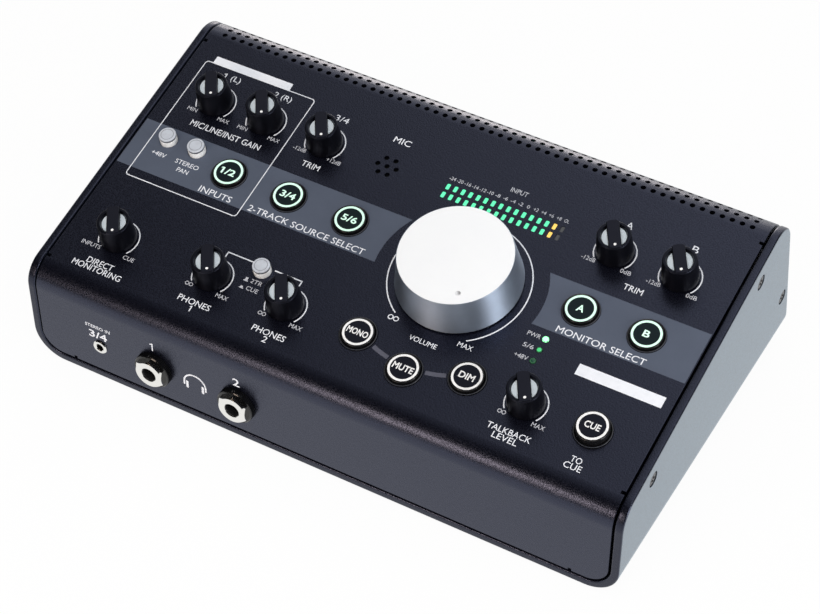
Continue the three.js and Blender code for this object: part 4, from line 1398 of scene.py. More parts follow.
@dataclass
class Print:
    """The ink on the top and front panels: band, outlines, scales and plain control words."""

    ink: Point = (-0.1, 0.06)
    low_ink: Point = (-0.1, 0.03)
    band_span: Point = (67.0, 93.2)
    band_gap: float = 38.5
    knob_arc: float = 9.25
    knob_scale: Point = (-38.0, 219.0)
    volume_arc: float = 31.23
    volume_scale: Point = (-57.0, 237.0)
    link_arcs: Point = (47.0, 49.0)
    links: tuple[Point, Point] = ((249.0, 259.2), (280.6, 291.4))
    box_corner: float = 1.6
    thin: float = 0.42
    thick: float = 0.55
    bracket: Corner = (-67.3, 45.0, -29.5)
    headphone_place: Point = (-58.8, 21.2)
    front_weight: float = 0.012

    def band(self) -> None:
        """Makes the grey band that runs behind the two rows of lit buttons."""
        x, y = LAYOUT.volume
        gap = self.band_gap
        form = Form("grey_band", TOP, BAND_INK)
        low, high = self.band_span
        edge = SIZES.sheet_half - 0.5
        first = math.degrees(math.asin((low - y) / gap))
        last = math.degrees(math.asin((high - y) / gap))
        right = arc(gap, first, last, (x, y), 24)
        left = arc(gap, 180 - last, 180 - first, (x, y), 24)
        form.prism([(edge, low), (edge, high), *reversed(right)], *self.low_ink)
        form.prism([(-edge, high), (-edge, low), *reversed(left)], *self.low_ink)
        band = form.object()
        holes = Form("band_holes", TOP, BAND_INK)
        for radius, places in ((8.5, LAYOUT.lit), (4.3, LAYOUT.plain)):
            for place in places.values():
                holes.pin(radius, -1, 1, at=place, sides=48)
        carve(band, holes.object())
        settle(band, Slot.BLACK_PAINT)

    def scales(self, form: Form) -> None:
        """Adds the scale round each knob.

        Args:
            form: the ink that they join.
        """
        rows = [(place, self.knob_arc, *self.knob_scale, 48) for place in LAYOUT.knobs.values()]
        for place, radius, first, last, steps in [*rows, (LAYOUT.volume, self.volume_arc, *self.volume_scale, 120)]:
            inner, outer = (
                arc(radius + side * self.thick / 2, first, last, place, steps) for side in (-1, 1)
            )
            form.strip(inner, outer, *self.ink)

    def box(self, form: Form) -> None:
        """Adds the outlined box round the two input channels, with its plain title bar.

        Args:
            form: the ink that it joins.
        """
        inner, outer = (
            oblong(-132.3 - more, 62.5 - more, -74.2 + more, 133.3 + more, self.box_corner + more, 6)
            for more in (-self.thin / 2, self.thin / 2)
        )
        form.strip(inner, outer, *self.ink, closed=True)
        form.box(-129.0, 133.0, -88.1, 137.3, self.ink[0], self.ink[1] + 0.01, radius=0.5, steps=3)

    def rules(self, form: Form) -> None:
        """Adds the bracket between the two phones knobs, and the plain bar beside the status lights.

        Args:
            form: the ink that they join.
        """
        half = self.thick / 2
        left, high, right = self.bracket
        for row in (
            (left, high - half, -53.6, high + half), (-43.4, high - half, right, high + half),
            (left + 0.25 - half, 42.3, left + 0.25 + half, high + 0.2),
            (right - 0.25 - half, 42.3, right - 0.25 + half, high + 0.2), (96.8, 52.3, 136.0, 57.8),
        ):
            form.box(*row, *self.ink)

    def key_signs(self, form: Form) -> None:
        """Adds the two signs of a raised and a pushed-in key.

        Args:
            form: the ink that they join.
        """
        for y, high in ((35.6, 1.5), (31.6, 0.7)):
            form.box(-53.6, y - 0.5, -51.4, y, *self.ink)
            form.box(-53.1, y + 0.05, -51.9, y + high, *self.ink)

    def endless(self, form: Form, at: Point, size: float) -> None:
        """Adds the sign for no level at all: two rings that touch.

        Args:
            form: the ink that it joins.
            at: its centre.
            size: its width.
        """
        radius = size / 4
        for side in (-1, 1):
            centre = (at[0] + side * radius, at[1])
            inner, outer = circle(radius - size * 0.08, centre, 24), circle(radius, centre, 24)
            form.strip(inner, outer, *self.ink, closed=True)

    def grey_links(self) -> None:
        """Makes the two grey bars between the three function buttons."""
        form = Form("grey_links", TOP, GREY_INK)
        for first, last in self.links:
            inner, outer = (arc(radius, first, last, LAYOUT.volume, 12) for radius in self.link_arcs)
            form.strip(inner, outer, *self.low_ink)
        settle(form.object(), Slot.BLACK_PAINT)

    def titles(self) -> list[Mark]:
        """Gives the white words and numbers of the top panel."""
        return marked(
            ("1 (L)", -115.5, 128.5, 3.9, 8.2), ("2 (R)", -88.7, 128.5, 3.9, 9.1), ("3/4", -57.5, 128.8, 3.1, 6.8),
            ("MIC", -26.4, 128.8, 3.2, 8.4), ("A", 85.1, 129.0, 3.4, 3.3), ("B", 115.8, 129.1, 3.5, 3.0),
            ("MIC/LINE/INST GAIN", -101.9, 99.6, 3.2, 36.5), ("TRIM", -57.6, 100.5, 2.9, 8.9),
            ("TRIM", 100.6, 100.0, 2.9, 8.9), ("INPUTS", -88.8, 69.4, 3.2, 16.6),
            ("2-TRACK SOURCE SELECT", -42.1, 69.4, 3.2, 58.7), ("MONITOR SELECT", 100.6, 69.3, 3.2, 40.9),
            ("DIRECT", -115.7, 16.2, 3.0, 13.4), ("MONITORING", -115.5, 12.8, 3.0, 25.0),
            ("PHONES", -67.0, 16.2, 3.0, 16.0), ("1", -66.8, 12.8, 3.0, 0.45), ("PHONES", -29.5, 16.2, 3.0, 16.0),
            ("2", -29.5, 12.8, 3.0, 2.2), ("TALKBACK", 85.3, 16.2, 2.9, 19.9), ("LEVEL", 85.1, 12.8, 2.9, 11.4),
            ("TO", 115.9, 16.2, 2.9, 4.9), ("CUE", 115.8, 12.8, 2.9, 7.9), ("VOLUME", 32.4, 39.8, 2.4, 13.0),
            ("MAX", 49.6, 45.3, 2.4, 6.9), ("+48V", -124.1, 78.1, 2.3, 7.4), ("STEREO", -109.1, 78.2, 2.3, 12.0),
            ("PAN", -109.1, 74.3, 2.3, 5.8),
        )

    def small_words(self) -> list[Mark]:
        """Gives the small, paler words and numbers of the top panel."""
        gains = (("MIN", -8.0, -7.7, 2.0, 5.0), ("MAX", 8.5, -7.7, 2.0, 5.8))
        trims = (("-12dB", -9.0, -7.3, 2.1, 6.5), ("0dB", 8.5, -7.3, 2.1, 5.0))
        top = (("MAX", 9.4, -7.7, 2.1, 5.9),)
        ends = {
            "gain_1": gains, "gain_2": gains, "line_trim": (trims[0], ("+12dB", 8.5, -7.3, 2.1, 7.1)),
            "trim_a": trims, "trim_b": trims, "phones_1": top, "phones_2": top, "talkback_level": top,
            "direct_mix": (("INPUTS", -9.7, -7.8, 2.1, 9.6), ("CUE", 9.9, -7.7, 2.1, 5.6)),
        }
        marks: list[Mark] = []
        for name, words in ends.items():
            x, y = LAYOUT.knobs[name]
            marks += [Mark(text, x + right, y + up, *size) for text, right, up, *size in words]
        widths = {1: 1.3, 2: 2.25, 3: 3.05}
        scale = "-24 -20 -16 -14 -12 -10 -8 -6 -4 -2 0 +2 +4 +6 +8 OL"
        for index, text in enumerate(scale.split()):
            place = LAYOUT.meter[0] + index * LAYOUT.meter_step[0]
            marks.append(Mark(text, place, 120.0, 1.8, widths[len(text)]))
        return marks + marked(
            ("INPUT", 33.8, 125.4, 2.4, 8.2), ("2TR", -47.5, 36.3, 2.1, 5.6), ("CUE", -47.4, 32.3, 2.1, 5.8),
            ("PWR", 73.1, 62.5, 2.1, 6.0), ("5/6", 73.4, 56.7, 2.1, 5.0), ("+48V", 72.9, 50.9, 2.1, 6.2),
        )

    def headphones(self, form: Form) -> None:
        """Adds the headphone sign between the two phones sockets.

        Args:
            form: the ink that it joins.
        """
        x, y = self.headphone_place
        inner, outer = (
            [(x + radius, y - 2.0), *arc(radius, 0, 180, (x, y), 32), (x - radius, y - 2.0)]
            for radius in (5.1, 5.9)
        )
        form.strip(inner, outer, *self.ink)
        for side in (-1, 1):
            ear = x + side * 4.0
            form.box(ear - 0.6, 17.6, ear + 0.6, 21.9, *self.ink, radius=0.3, steps=3)

    def build(self) -> None:
        """Makes all the ink."""
        self.band()
        self.grey_links()
        white = Form("white_lines", TOP, WHITE_INK)
        self.scales(white)
        self.box(white)
        self.rules(white)
        self.endless(white, (15.1, 45.2), 5.1)
        settle(white.object(), Slot.GREY_PLASTIC)
        pale = Form("pale_signs", TOP, PALE_INK)
        self.key_signs(pale)
        for name in ("phones_1", "phones_2", "talkback_level"):
            x, y = LAYOUT.knobs[name]
            self.endless(pale, (x - 7.4, y - 7.6), 3.9)
        settle(pale.object(), Slot.GREY_PLASTIC)
        lettering("white_words", TOP, self.titles(), self.ink, WHITE_INK)
        lettering("pale_words", TOP, self.small_words(), self.ink, PALE_INK)
        front = Form("front_signs", FRONT, WHITE_INK)
        self.headphones(front)
        settle(front.object(), Slot.GREY_PLASTIC)
        numbers = marked(("1", -79.9, 33.9, 4.5, 0.62), ("2", -37.1, 33.9, 4.5, 3.4), ("3/4", -109.1, 26.5, 4.3, 9.4))
        lettering("front_numbers", FRONT, numbers, self.ink, WHITE_INK, self.front_weight)
        lettering("front_words", FRONT, marked(("STEREO IN", -108.9, 31.3, 1.9, 13.0)), self.ink, WHITE_INK)


# Controls on the top panel


@dataclass
class VolumeKnob:
    """The large turned volume knob."""

    radius: float = 27.9
    top_radius: float = 25.2
    height: float = 19.1
    gap: float = 0.9
    wall: float = 2.6
    pointer: float = math.radians(-59)
    dimple_radius: float = 1.7
    dimple_depth: float = 0.5
    dimple_reach: float = 19.7

    def build(self) -> None:
        """Makes the knob with its dimple: a turned wall, and a top face painted near white, satin aluminium with a
        painted highlight.
        """
        finishes = (TURNED_WALL, ALUMINIUM, DIMPLE)
        ceiling = self.height - self.wall
        profile = filleted([
            (0, -9, 0), (3, -9, 0), (3, 5.4, 0), (6, 5.4, 0), (6, ceiling, 0.5),
            (self.top_radius - self.wall, ceiling, 0.5), (self.radius - 1.2, self.gap, 0.2),
            (self.radius, self.gap, 0.3),
            (self.top_radius, self.height - 0.3, 0.4), (0, self.height, 0),
        ], closed=False, steps=5)
        knob = Form("volume_knob_turned", TOP, *finishes).lathe(profile, sides=160).object(at=LAYOUT.volume)
        ball = (self.dimple_radius ** 2 + self.dimple_depth ** 2) / (2 * self.dimple_depth)
        centre = self.height - self.dimple_depth + ball
        turns = [math.pi * k / 24 for k in range(25)]
        curve = [(ball * math.sin(turn), centre - ball * math.cos(turn)) for turn in turns]
        curve[0], curve[-1] = (0, curve[0][1]), (0, curve[-1][1])
        x = LAYOUT.volume[0] + self.dimple_reach * math.cos(self.pointer)
        y = LAYOUT.volume[1] + self.dimple_reach * math.sin(self.pointer)
        carve(knob, Form("dish", TOP, *finishes).lathe(curve, sides=48).object(at=(x, y)))
        self.dress(knob)
        settle(smooth(knob), Slot.SATIN_ALUMINIUM, "volume_knob", body="volume_dial")

    def dress(self, knob: Piece) -> None:
        """Gives the flat face at the top the near-white finish, which carries a painted highlight, and lays a map along
        the profile for the turned wall.

        Args:
            knob: the knob.
        """
        back = TOP.matrix.inverted()
        mesh = knob.data
        profile = mesh.uv_layers.new(name="profile")
        for face in mesh.polygons:
            spot = back @ (face.center / MM)
            reach, turn = self.round(spot)
            # Faces of the flat top take the near-white finish with its painted highlight.
            face.material_index = 1 if spot.z > self.height - 0.8 and reach < self.top_radius - 0.2 else 0
            if face.material_index and spot.z < self.height - 0.3 * reach / self.top_radius - 0.06:
                face.material_index = 2
            for loop in face.loop_indices:
                corner = back @ (mesh.vertices[mesh.loops[loop].vertex_index].co / MM)
                far, angle = self.round(corner)
                angle += 2 * math.pi * round((turn - angle) / (2 * math.pi))
                profile.data[loop].uv = ((corner.z - far) / 60, angle / math.pi)

    @staticmethod
    def round(spot: Vector) -> Point:
        """Gives a place's distance from the knob's axis and its angle round it."""
        x, y = spot.x - LAYOUT.volume[0], spot.y - LAYOUT.volume[1]
        return math.hypot(x, y), math.atan2(y, x)


@dataclass
class SmallKnob:
    """A small black knob with a raised grip between two pale lands."""

    name: str
    at: Point
    radius: float = 8.3
    top_radius: float = 7.35
    rim_radius: float = 5.95
    dish_radius: float = 5.45
    height: float = 12.9
    dish: float = 11.35
    grip: float = 5.5
    grip_top: float = 13.8
    grip_reach: float = 7.2
    pointer: float = math.radians(-59)

    def sector(self, radius: float, half: float, side: int) -> list[Point]:
        """Gives a half-moon beyond the grip's edge.

        Args:
            radius: the radius of its round side.
            half: half of the grip's width.
            side: 1 for the upper one and -1 for the lower one.

        Returns:
            The outline's points.
        """
        first = math.degrees(math.asin(half / radius))
        start = 0 if side > 0 else 180
        return arc(radius, start + first, start + 180 - first, steps=20)

    def build(self) -> None:
        """Makes the knob."""
        form = Form(f"{self.name}_knob", TOP, KNOB_BLACK, KNOB_LAND, KNOB_PIP, KNOB_GRIP)
        form.lathe(filleted([
            (0, -9, 0), (3, -9, 0), (3, 3.6, 0), (5, 3.6, 0), (5, 0.6, 0), (self.radius, 0.6, 0.25),
            (self.top_radius, self.height, 0.45), (self.rim_radius, self.height, 0.25),
            (self.dish_radius, self.dish, 0),
            (0, self.dish, 0),
        ], closed=False, steps=4))
        half, reach = self.grip / 2, self.grip_reach
        tip = math.degrees(math.asin(half / reach))
        bar = arc(reach, -tip, tip, steps=8) + arc(reach, 180 - tip, 180 + tip, steps=8)
        form.prism(bar, self.dish - 0.4, self.grip_top, finish=3, edge=0.35)
        for side in (1, -1):
            land = self.sector(self.dish_radius - 0.12, half + 0.1, side)
            form.prism(land, self.dish - 0.3, self.dish + 0.08, finish=1)
        form.prism(circle(0.62, (5.4, 0), 20), self.grip_top - 0.4, self.grip_top + 0.03, finish=2)
        knob = smooth(form.object(turn=self.pointer, at=self.at))
        settle(knob, Slot.KNOB_PLASTIC, f"knob_{self.name}", body=f"dial_{self.name}")


class RingLook(Enum):
    """Whether a button's ring is lit."""

    LIT = "lit"
    PLAIN = "plain"


@dataclass
class LitButton:
    """A round button cap with a ring and a short plain word."""

    name: str
    at: Point
    word: str
    width: float
    look: RingLook
    rise: float = 1.8
    foot: float = -7.1
    radius: float = 7.3
    ring_outer: float = 6.62
    ring_inner: float = 5.62
    word_height: float = 3.15
    lit_word_height: float = 3.4
    word_weight: float = 0.02

    def build(self) -> None:
        """Makes the cap, its ring and its word."""
        lit = self.look is RingLook.LIT
        face, ring = (CAP_FACE_LIT, RING_LIT) if lit else (CAP_FACE_DARK, RING_WHITE)
        top = self.rise - 0.12
        form = Form(f"{self.name}_cap", TOP, CAP_BLACK, ring, face)
        form.lathe(filleted([
            (0, self.foot, 0), (self.radius, self.foot, 0), (self.radius, top, 0.4), (0, top, 0),
        ], closed=False, steps=4))
        form.lathe([
            (self.ring_inner, top - 0.3), (self.ring_outer, top - 0.3), (self.ring_outer, self.rise - 0.04),
            (self.ring_outer - 0.1, self.rise), (self.ring_inner + 0.1, self.rise), (self.ring_inner, self.rise - 0.04),
        ], finish=1, ring=True)
        form.prism(circle(self.ring_inner - 0.02, steps=48), top - 0.3, top + 0.03, finish=2)
        body = f"key_{self.name}"
        settle(smooth(form.object(at=self.at)), Slot.CAP_PLASTIC, f"button_{self.name}", body=body)
        mark = Mark(self.word, *self.at, self.lit_word_height if lit else self.word_height, self.width)
        span = (top - 0.1, top + 0.08)
        lettering(f"{self.name}_word", TOP, [mark], span, ring, self.word_weight, Slot.CAP_PLASTIC, body)


@dataclass
class PlainButton:
    """A small pale grey button with a deep groove under its top, whose near-white lower wall is a painted highlight and
    whose black neck, dark grey upper side and dark top ring are painted shade.
    """

    name: str
    at: Point
    radius: float = 4.0
    rise: float = 4.3
    foot: float = -5.8
    neck: float = 3.55

    def build(self) -> None:
        """Makes the button, with its painted highlight and its painted shade."""
        form = Form(f"{self.name}_button", TOP, GREY_WALL_PAINTED_HIGHLIGHT, GREY_CAP, CAP_BLACK, GREY_SIDE_PAINTED_SHADE)
        low, high, brow = self.rise - 1.75, self.rise - 1.4, self.rise - 0.42
        brim = self.radius - 0.05
        # The lower wall is painted near white: a painted highlight.
        form.lathe(filleted([
            (0, self.foot, 0), (self.radius, self.foot, 0), (self.radius, low, 0.12), (self.neck, low, 0), (0, low, 0),
        ], closed=False, steps=4), sides=48)
        # The neck in the groove takes the black cap finish: painted shade in the groove.
        form.pin(self.neck, low - 0.2, high + 0.2, sides=48, finish=2)
        # The upper side under the top is painted dark grey: painted shade.
        form.pin(brim, high, brow, sides=48, finish=3)
        form.lathe(filleted([
            (0, brow - 0.02, 0), (brim, brow - 0.02, 0), (brim, self.rise, 0.4), (0, self.rise, 0),
        ], closed=False, steps=4), sides=48, finish=1)
        # A thin dark ring on the top stands for a groove: painted shade.
        line = [(2.75, brow), (2.95, brow), (2.95, self.rise + 0.02), (2.75, self.rise + 0.02)]
        form.lathe(line, sides=48, finish=3, ring=True)
        button = smooth(form.object(at=self.at))
        settle(button, Slot.GREY_PLASTIC, f"button_{self.name}", body=f"key_{self.name}")


@dataclass
class Collars:
    """The moulded frame's collars, which stand round the lit buttons."""

    outer: float = 8.35
    inner: float = 7.55
    rise: float = 0.5
    foot: float = -3.5

    def build(self) -> None:
        """Makes the collars, each with a thin pale ring at its outer top edge as a painted highlight."""
        form = Form("button_collars", TOP, COLLAR, COLLAR_PAINTED_HIGHLIGHT)
        inner, outer, rise = self.inner, self.outer, self.rise
        profile = filleted([
            (inner, self.foot, 0), (outer, self.foot, 0), (outer, rise, 0.25), (inner, rise, 0.2),
        ], steps=3)
        # The pale ring at the outer top edge is a painted highlight.
        edge = [
            (outer - 0.24, rise - 0.2), (outer - 0.05, rise - 0.2), (outer - 0.05, rise - 0.06),
            (outer - 0.24, rise + 0.02),
        ]
        for place in LAYOUT.lit.values():
            form.lathe(profile, at=place, ring=True)
            form.lathe(edge, at=place, finish=1, ring=True)
        settle(smooth(form.object()), Slot.FRAME_PLASTIC, "button_frame")


@dataclass
class Meter:
    """The level meter's lights, the three status lights and the microphone's grille."""

    width: float = 1.62
    length: float = 3.05
    top: float = -0.12
    status_radii: Corner = (0.95, 1.1, 1.4)
    grille_radius: float = 6.6

    def lights(self, name: str, start: int, count: int, finish: Finish, *nodes: str) -> None:
        """Makes one stretch of lights in both rows.

        Args:
            name: the piece's name.
            start: number of the first column.
            count: number of columns.
            finish: the lights' finish.
            nodes: the nodes that the piece replaces.
        """
        x, y = self.width / 2, self.length / 2
        unit = Form("light", TOP).box(-x, -y, x, y, -4.0, self.top, radius=0.42, edge=0.1).unit()
        settle(smooth(meter_grid(name, unit, finish, start, count)), Slot.METER_WINDOW, *nodes)

    def status(self) -> None:
        """Makes the three status lights."""
        rows = zip(LAYOUT.status_lights, self.status_radii, (STATUS_DIM, STATUS_MID, STATUS_BRIGHT))
        for index, (place, wide, finish) in enumerate(rows):
            form = Form(f"status_light_{index + 1}", TOP, finish).lathe([
                (0, -1.2), (wide, -1.2), (wide, 0.1), (wide * 0.85, 0.35), (wide * 0.5, 0.52), (0, 0.58),
            ], sides=32)
            settle(smooth(form.object(at=place)), Slot.METER_WINDOW)

    def build(self) -> None:
        """Makes all the lights and the grille behind the microphone's holes."""
        self.lights("meter_lights_green", 0, 14, LIGHT_GREEN, "level_meter")
        self.lights("meter_lights_amber", 14, 1, LIGHT_AMBER)
        self.lights("meter_lights_off", 15, 1, LIGHT_OFF)
        self.status()
        grille = Form("microphone_grille", TOP, GRILLE).prism(circle(self.grille_radius), -1.85, -1.66)
        settle(grille.object(at=LAYOUT.microphone), Slot.FRAME_PLASTIC)


# Sockets


def socket(body: Form, at: Point, nose: Form, *holes: Form) -> Piece:
    """Makes a socket: a body with its nose joined on and its holes bored.

    Args:
        body: the body behind the panel.
        at: the socket's place on the panel.
        nose: what reaches through the panel.
        holes: what is cut out.

    Returns:
        The piece.
    """
    piece = body.object(at=at)
    carve(piece, nose.object(at=at), operation="UNION")
    carve(piece, *[hole.object(at=at) for hole in holes])
    return smooth(piece)


@dataclass
class FrontSockets:
    """The two phones sockets with their nuts, and the small socket."""

    rise: float = 5.1
    flats: float = 13.2
    chamfer: float = 1.0
    ring_radius: float = 8.9
    ring_rise: float = 3.0
    ring_hole: float = 5.2
    ring_teeth: int = 64
    tooth: float = 0.22
    mouth: float = 3.62
    barrel: float = 3.58
    bore: float = 3.25
    behind: float = -1.9

    def nut(self, name: str, at: Point) -> None:
        """Makes one bright nut, whose corner points up, in front of its round black ring.

        Args:
            name: the nut's node.
            at: the socket's place.
        """
        corner, rise, mouth = self.flats / math.sqrt(3), self.rise, self.mouth
        turns = [math.radians(30 + k * 60) for k in range(6)]
        outline = [(corner * math.cos(turn), corner * math.sin(turn)) for turn in turns]
        nut = Form(f"dressed_{name}", FRONT, CHROME).prism(outline, self.ring_rise - 0.2, rise).object(at=at)
        cone = Form("cone", FRONT, CHROME).lathe([
            (0, 0), (corner, 0), (corner, rise - self.chamfer), (self.flats / 2, rise), (0, rise),
        ], sides=96)
        carve(nut, cone.object(at=at), operation="INTERSECT")
        hole = Form("hole", FRONT, CHROME).lathe([
            (0, -1), (mouth, -1), (mouth, rise - 0.15), (mouth + 0.2, rise + 0.05), (0, rise + 1),
        ])
        carve(nut, hole.object(at=at))
        settle(smooth(nut), Slot.CHROME, name)

    def ring(self, name: str, at: Point) -> None:
        """Makes one round black ring with fine upright ribs.

        Args:
            name: the piece's name.
            at: the socket's place.
        """
        outline = []
        for k in range(self.ring_teeth * 2):
            angle = math.pi * k / self.ring_teeth
            radius = self.ring_radius if k % 2 else self.ring_radius - self.tooth
            outline.append((radius * math.cos(angle), radius * math.sin(angle)))
        ring = Form(name, FRONT, NUT_BLACK).prism(outline, 0.1, self.ring_rise).object(at=at)
        hole, wide, rise = self.ring_hole, self.ring_radius, self.ring_rise
        edge = Form("edge", FRONT, NUT_BLACK).lathe([
            (hole, 0), (wide + 0.1, 0), (wide + 0.1, rise - 0.5), (wide - 0.5, rise), (hole, rise),
        ], sides=96, ring=True)
        carve(ring, edge.object(at=at), operation="INTERSECT")
        settle(smooth(ring), Slot.SOCKET_PLASTIC)

    def phones(self, name: str, at: Point) -> None:
        """Makes one phones socket's body and barrel.

        Args:
            name: the socket's node.
            at: its place.
        """
        rise, bore = self.rise, self.bore
        body = Form(f"dressed_{name}", FRONT, SOCKET_BLACK).box(-7.5, -7, 7.5, 7, -24, self.behind)
        barrel = Form("barrel", FRONT, SOCKET_BLACK).pin(self.barrel, -12, rise - 0.3, sides=64)
        hole = Form("hole", FRONT, SOCKET_BLACK).lathe([
            (0, -22), (bore, -22), (bore, rise - 0.5), (bore + 0.25, rise - 0.2), (0, rise),
        ])
        settle(socket(body, at, barrel, hole), Slot.SOCKET_PLASTIC, name)

    def mini(self) -> None:
        """Makes the small socket with its bright ring."""
        body = Form("mini_socket_body", FRONT, CHROME).box(-4.5, -3.5, 4.5, 3.5, -14, self.behind)
        barrel = Form("barrel", FRONT, CHROME).lathe([
            (0, -7), (3, -7), (3, 0.05), (3.5, 0.05), (3.5, 0.5), (3.2, 0.8), (0, 0.8),
        ])
        hole = Form("hole", FRONT, CHROME).lathe([(0, -12), (1.8, -12), (1.8, 0.5), (2.2, 0.9), (0, 1.5)], sides=48)
        settle(socket(body, SOCKETS.mini, barrel, hole), Slot.CHROME, "mini_socket")

    def build(self) -> None:
        """Makes the front sockets, and the bright spring contact that shows in each phones socket."""
        for index, at in enumerate(SOCKETS.phones):
            self.phones(f"phones_socket_{index + 1}", at)
            self.nut(f"phones_nut_{index + 1}", at)
            self.ring(f"phones_ring_{index + 1}", at)
            contact = Form(f"phones_contact_{index + 1}", FRONT, NICKEL)
            contact.box(-0.8, -3.2, 0.8, -2.5, -9.0, -0.4)
            settle(smooth(contact.object(at=at)), Slot.CHROME)
        self.mini()


@dataclass
class RearSockets:
    """The sockets and the power button on the rear panel."""

    back: float = -25.0
    behind: float = -1.9
    plug: float = 3.45
    combined_half: float = 12.5
    face_radius: float = 9.2
    groove: Point = (8.6, 9.8)
    pin_reach: float = 6.4
    pin_radius: float = 1.1
    bank_margin: float = 7.25
    usb_half: Point = (6.0, 5.4)
    usb_corner: float = 2.0
    usb_wall: float = 0.6

    def combined(self, index: int, x: float) -> None:
        """Makes one combined socket.

        Args:
            index: its number.
            x: its place across the panel.
        """
        half, plug = self.combined_half, self.plug
        near, far = self.groove
        body = Form(f"dressed_combo_socket_{index}", REAR, SOCKET_BLACK, ZINC)
        body.box(-half, -half, half, half, self.back, self.behind)
        nose, groove, face, holes = (Form(name, REAR, SOCKET_BLACK) for name in ("nose", "groove", "face", "holes"))
        nose.lathe([(0, -12), (12, -12), (12, 0.3), (11.7, 0.5), (0, 0.5)], sides=72)
        groove.lathe([(near, -9), (far, -9), (far, 2), (near, 2)], sides=72, ring=True)
        face.pin(self.face_radius, -1.6, 2, sides=72)
        holes.lathe([(0, -20), (plug, -20), (plug, -2.0), (plug + 0.5, -1.5), (0, -1)], sides=48)
        for k in range(3):
            angle = math.pi / 2 + k * 2 * math.pi / 3
            place = (self.pin_reach * math.cos(angle), self.pin_reach * math.sin(angle))
            holes.pin(self.pin_radius, -9, -1, at=place, sides=20)
        piece = socket(body, (x, SOCKETS.row), nose, groove, face, holes)
        settle(piece, Slot.SOCKET_PLASTIC, f"combo_socket_{index}")

    def bank(self, node: str, columns: tuple[float, ...]) -> None:
        """Makes a block of line sockets, two high, with bright bushings.

        Args:
            node: the block's node.
            columns: the places of its columns across the panel.
        """
        more, high, plug = self.bank_margin, SOCKETS.pair + self.bank_margin, self.plug
        body = Form(f"dressed_{node}", REAR, SOCKET_BLACK, NICKEL).box(
            min(columns) - more, SOCKETS.row - high, max(columns) + more, SOCKETS.row + high, self.back, self.behind,
        )
        noses, holes = (Form(name, REAR, SOCKET_BLACK) for name in ("noses", "holes"))
        for place in SOCKETS.rows(columns):
            noses.lathe([(0, -12), (5.6, -12), (5.6, 0.9), (5.3, 1.2), (0, 1.2)], at=place, sides=48)
            holes.lathe([(0, -20), (plug, -20), (plug, 0.8), (plug + 0.5, 1.3), (0, 2)], at=place, sides=48)
        settle(socket(body, (0, 0), noses, holes), Slot.SOCKET_PLASTIC, node)

    def usb(self) -> None:
        """Makes the square data socket's shell, whose upper corners are cut off, and its tongue."""
        at, cut = (SOCKETS.usb, SOCKETS.row), self.usb_corner
        shell = Form("dressed_usb_socket", REAR, ZINC, SOCKET_BLACK)
        mouth = Form("mouth", REAR, ZINC)
        for form, less, low, high in ((shell, 0.0, self.back, 0), (mouth, self.usb_wall, -9, 2)):
            x, y = self.usb_half[0] - less, self.usb_half[1] - less
            form.prism([(-x, -y), (x, -y), (x, y - cut), (x - cut, y), (cut - x, y), (-x, y - cut)], low, high)
        body = shell.object(at=at)
        carve(body, mouth.object(at=at))
        tongue = Form("tongue", REAR, ZINC).box(-2.8, -1.6, 2.8, 1.6, -11, -1.2)
        carve(body, tongue.object(at=at), operation="UNION")
        settle(smooth(body), Slot.ZINC, "usb_socket")

    def inlet(self) -> None:
        """Makes the round power inlet with its centre pin."""
        at = (SOCKETS.inlet, SOCKETS.row)
        body = Form("dressed_power_inlet", REAR, SOCKET_BLACK).box(-7, -7, 7, 7, self.back, self.behind)
        nose = Form("nose", REAR, SOCKET_BLACK).lathe(
            [(0, -12), (5.4, -12), (5.4, 0.4), (5.2, 0.6), (0, 0.6)], sides=48,
        )
        hole = Form("hole", REAR, SOCKET_BLACK).lathe([(0, -9), (3.2, -9), (3.2, 0.4), (3.4, 0.8), (0, 1)], sides=48)
        settle(socket(body, at, nose, hole), Slot.SOCKET_PLASTIC, "power_inlet")
        pin = Form("inlet_pin", REAR, NICKEL).lathe([(0, -9.5), (1, -9.5), (1, -1.5), (0.7, -1.2), (0, -1.2)], sides=24)
        settle(smooth(pin.object(at=at)), Slot.ZINC)

    def build(self) -> None:
        """Makes the rear sockets and the square power button."""
        for index, x in enumerate(SOCKETS.combined):
            self.combined(index + 1, x)
        self.bank("line_input_sockets", SOCKETS.inputs)
        self.bank("monitor_output_sockets", SOCKETS.outputs)
        self.usb()
        self.inlet()
        button = Form("power_push", REAR, COLLAR).box(-4.2, -4.2, 4.2, 4.2, -8, 3, radius=0.6, edge=0.4)
        button = smooth(button.object(at=(SOCKETS.power, SOCKETS.row)))
        settle(button, Slot.FRAME_PLASTIC, "power_button", body="key_power")


# Inner nodes, light and camera


@dataclass
class InnerNodes:
    """Finishes of the nodes that keep their own shape inside the housing."""

    finishes: dict[str, Finish] = field(default_factory=lambda: {
        "control_board": BOARD_GREEN, "socket_board": BOARD_GREEN, "volume_potentiometer": ZINC,
        **{f"potentiometer_{name}": ZINC for name in LAYOUT.knobs},
    })

    def build(self, nodes: dict[str, Piece]) -> None:
        """Dresses the nodes.

        Args:
            nodes: the frame's nodes by name.
        """
        for name, finish in self.finishes.items():
            mesh = nodes[name].data
            mesh.materials.clear()
            mesh.materials.append(finish.material())
            LOG.info("%s keeps its shape", name)


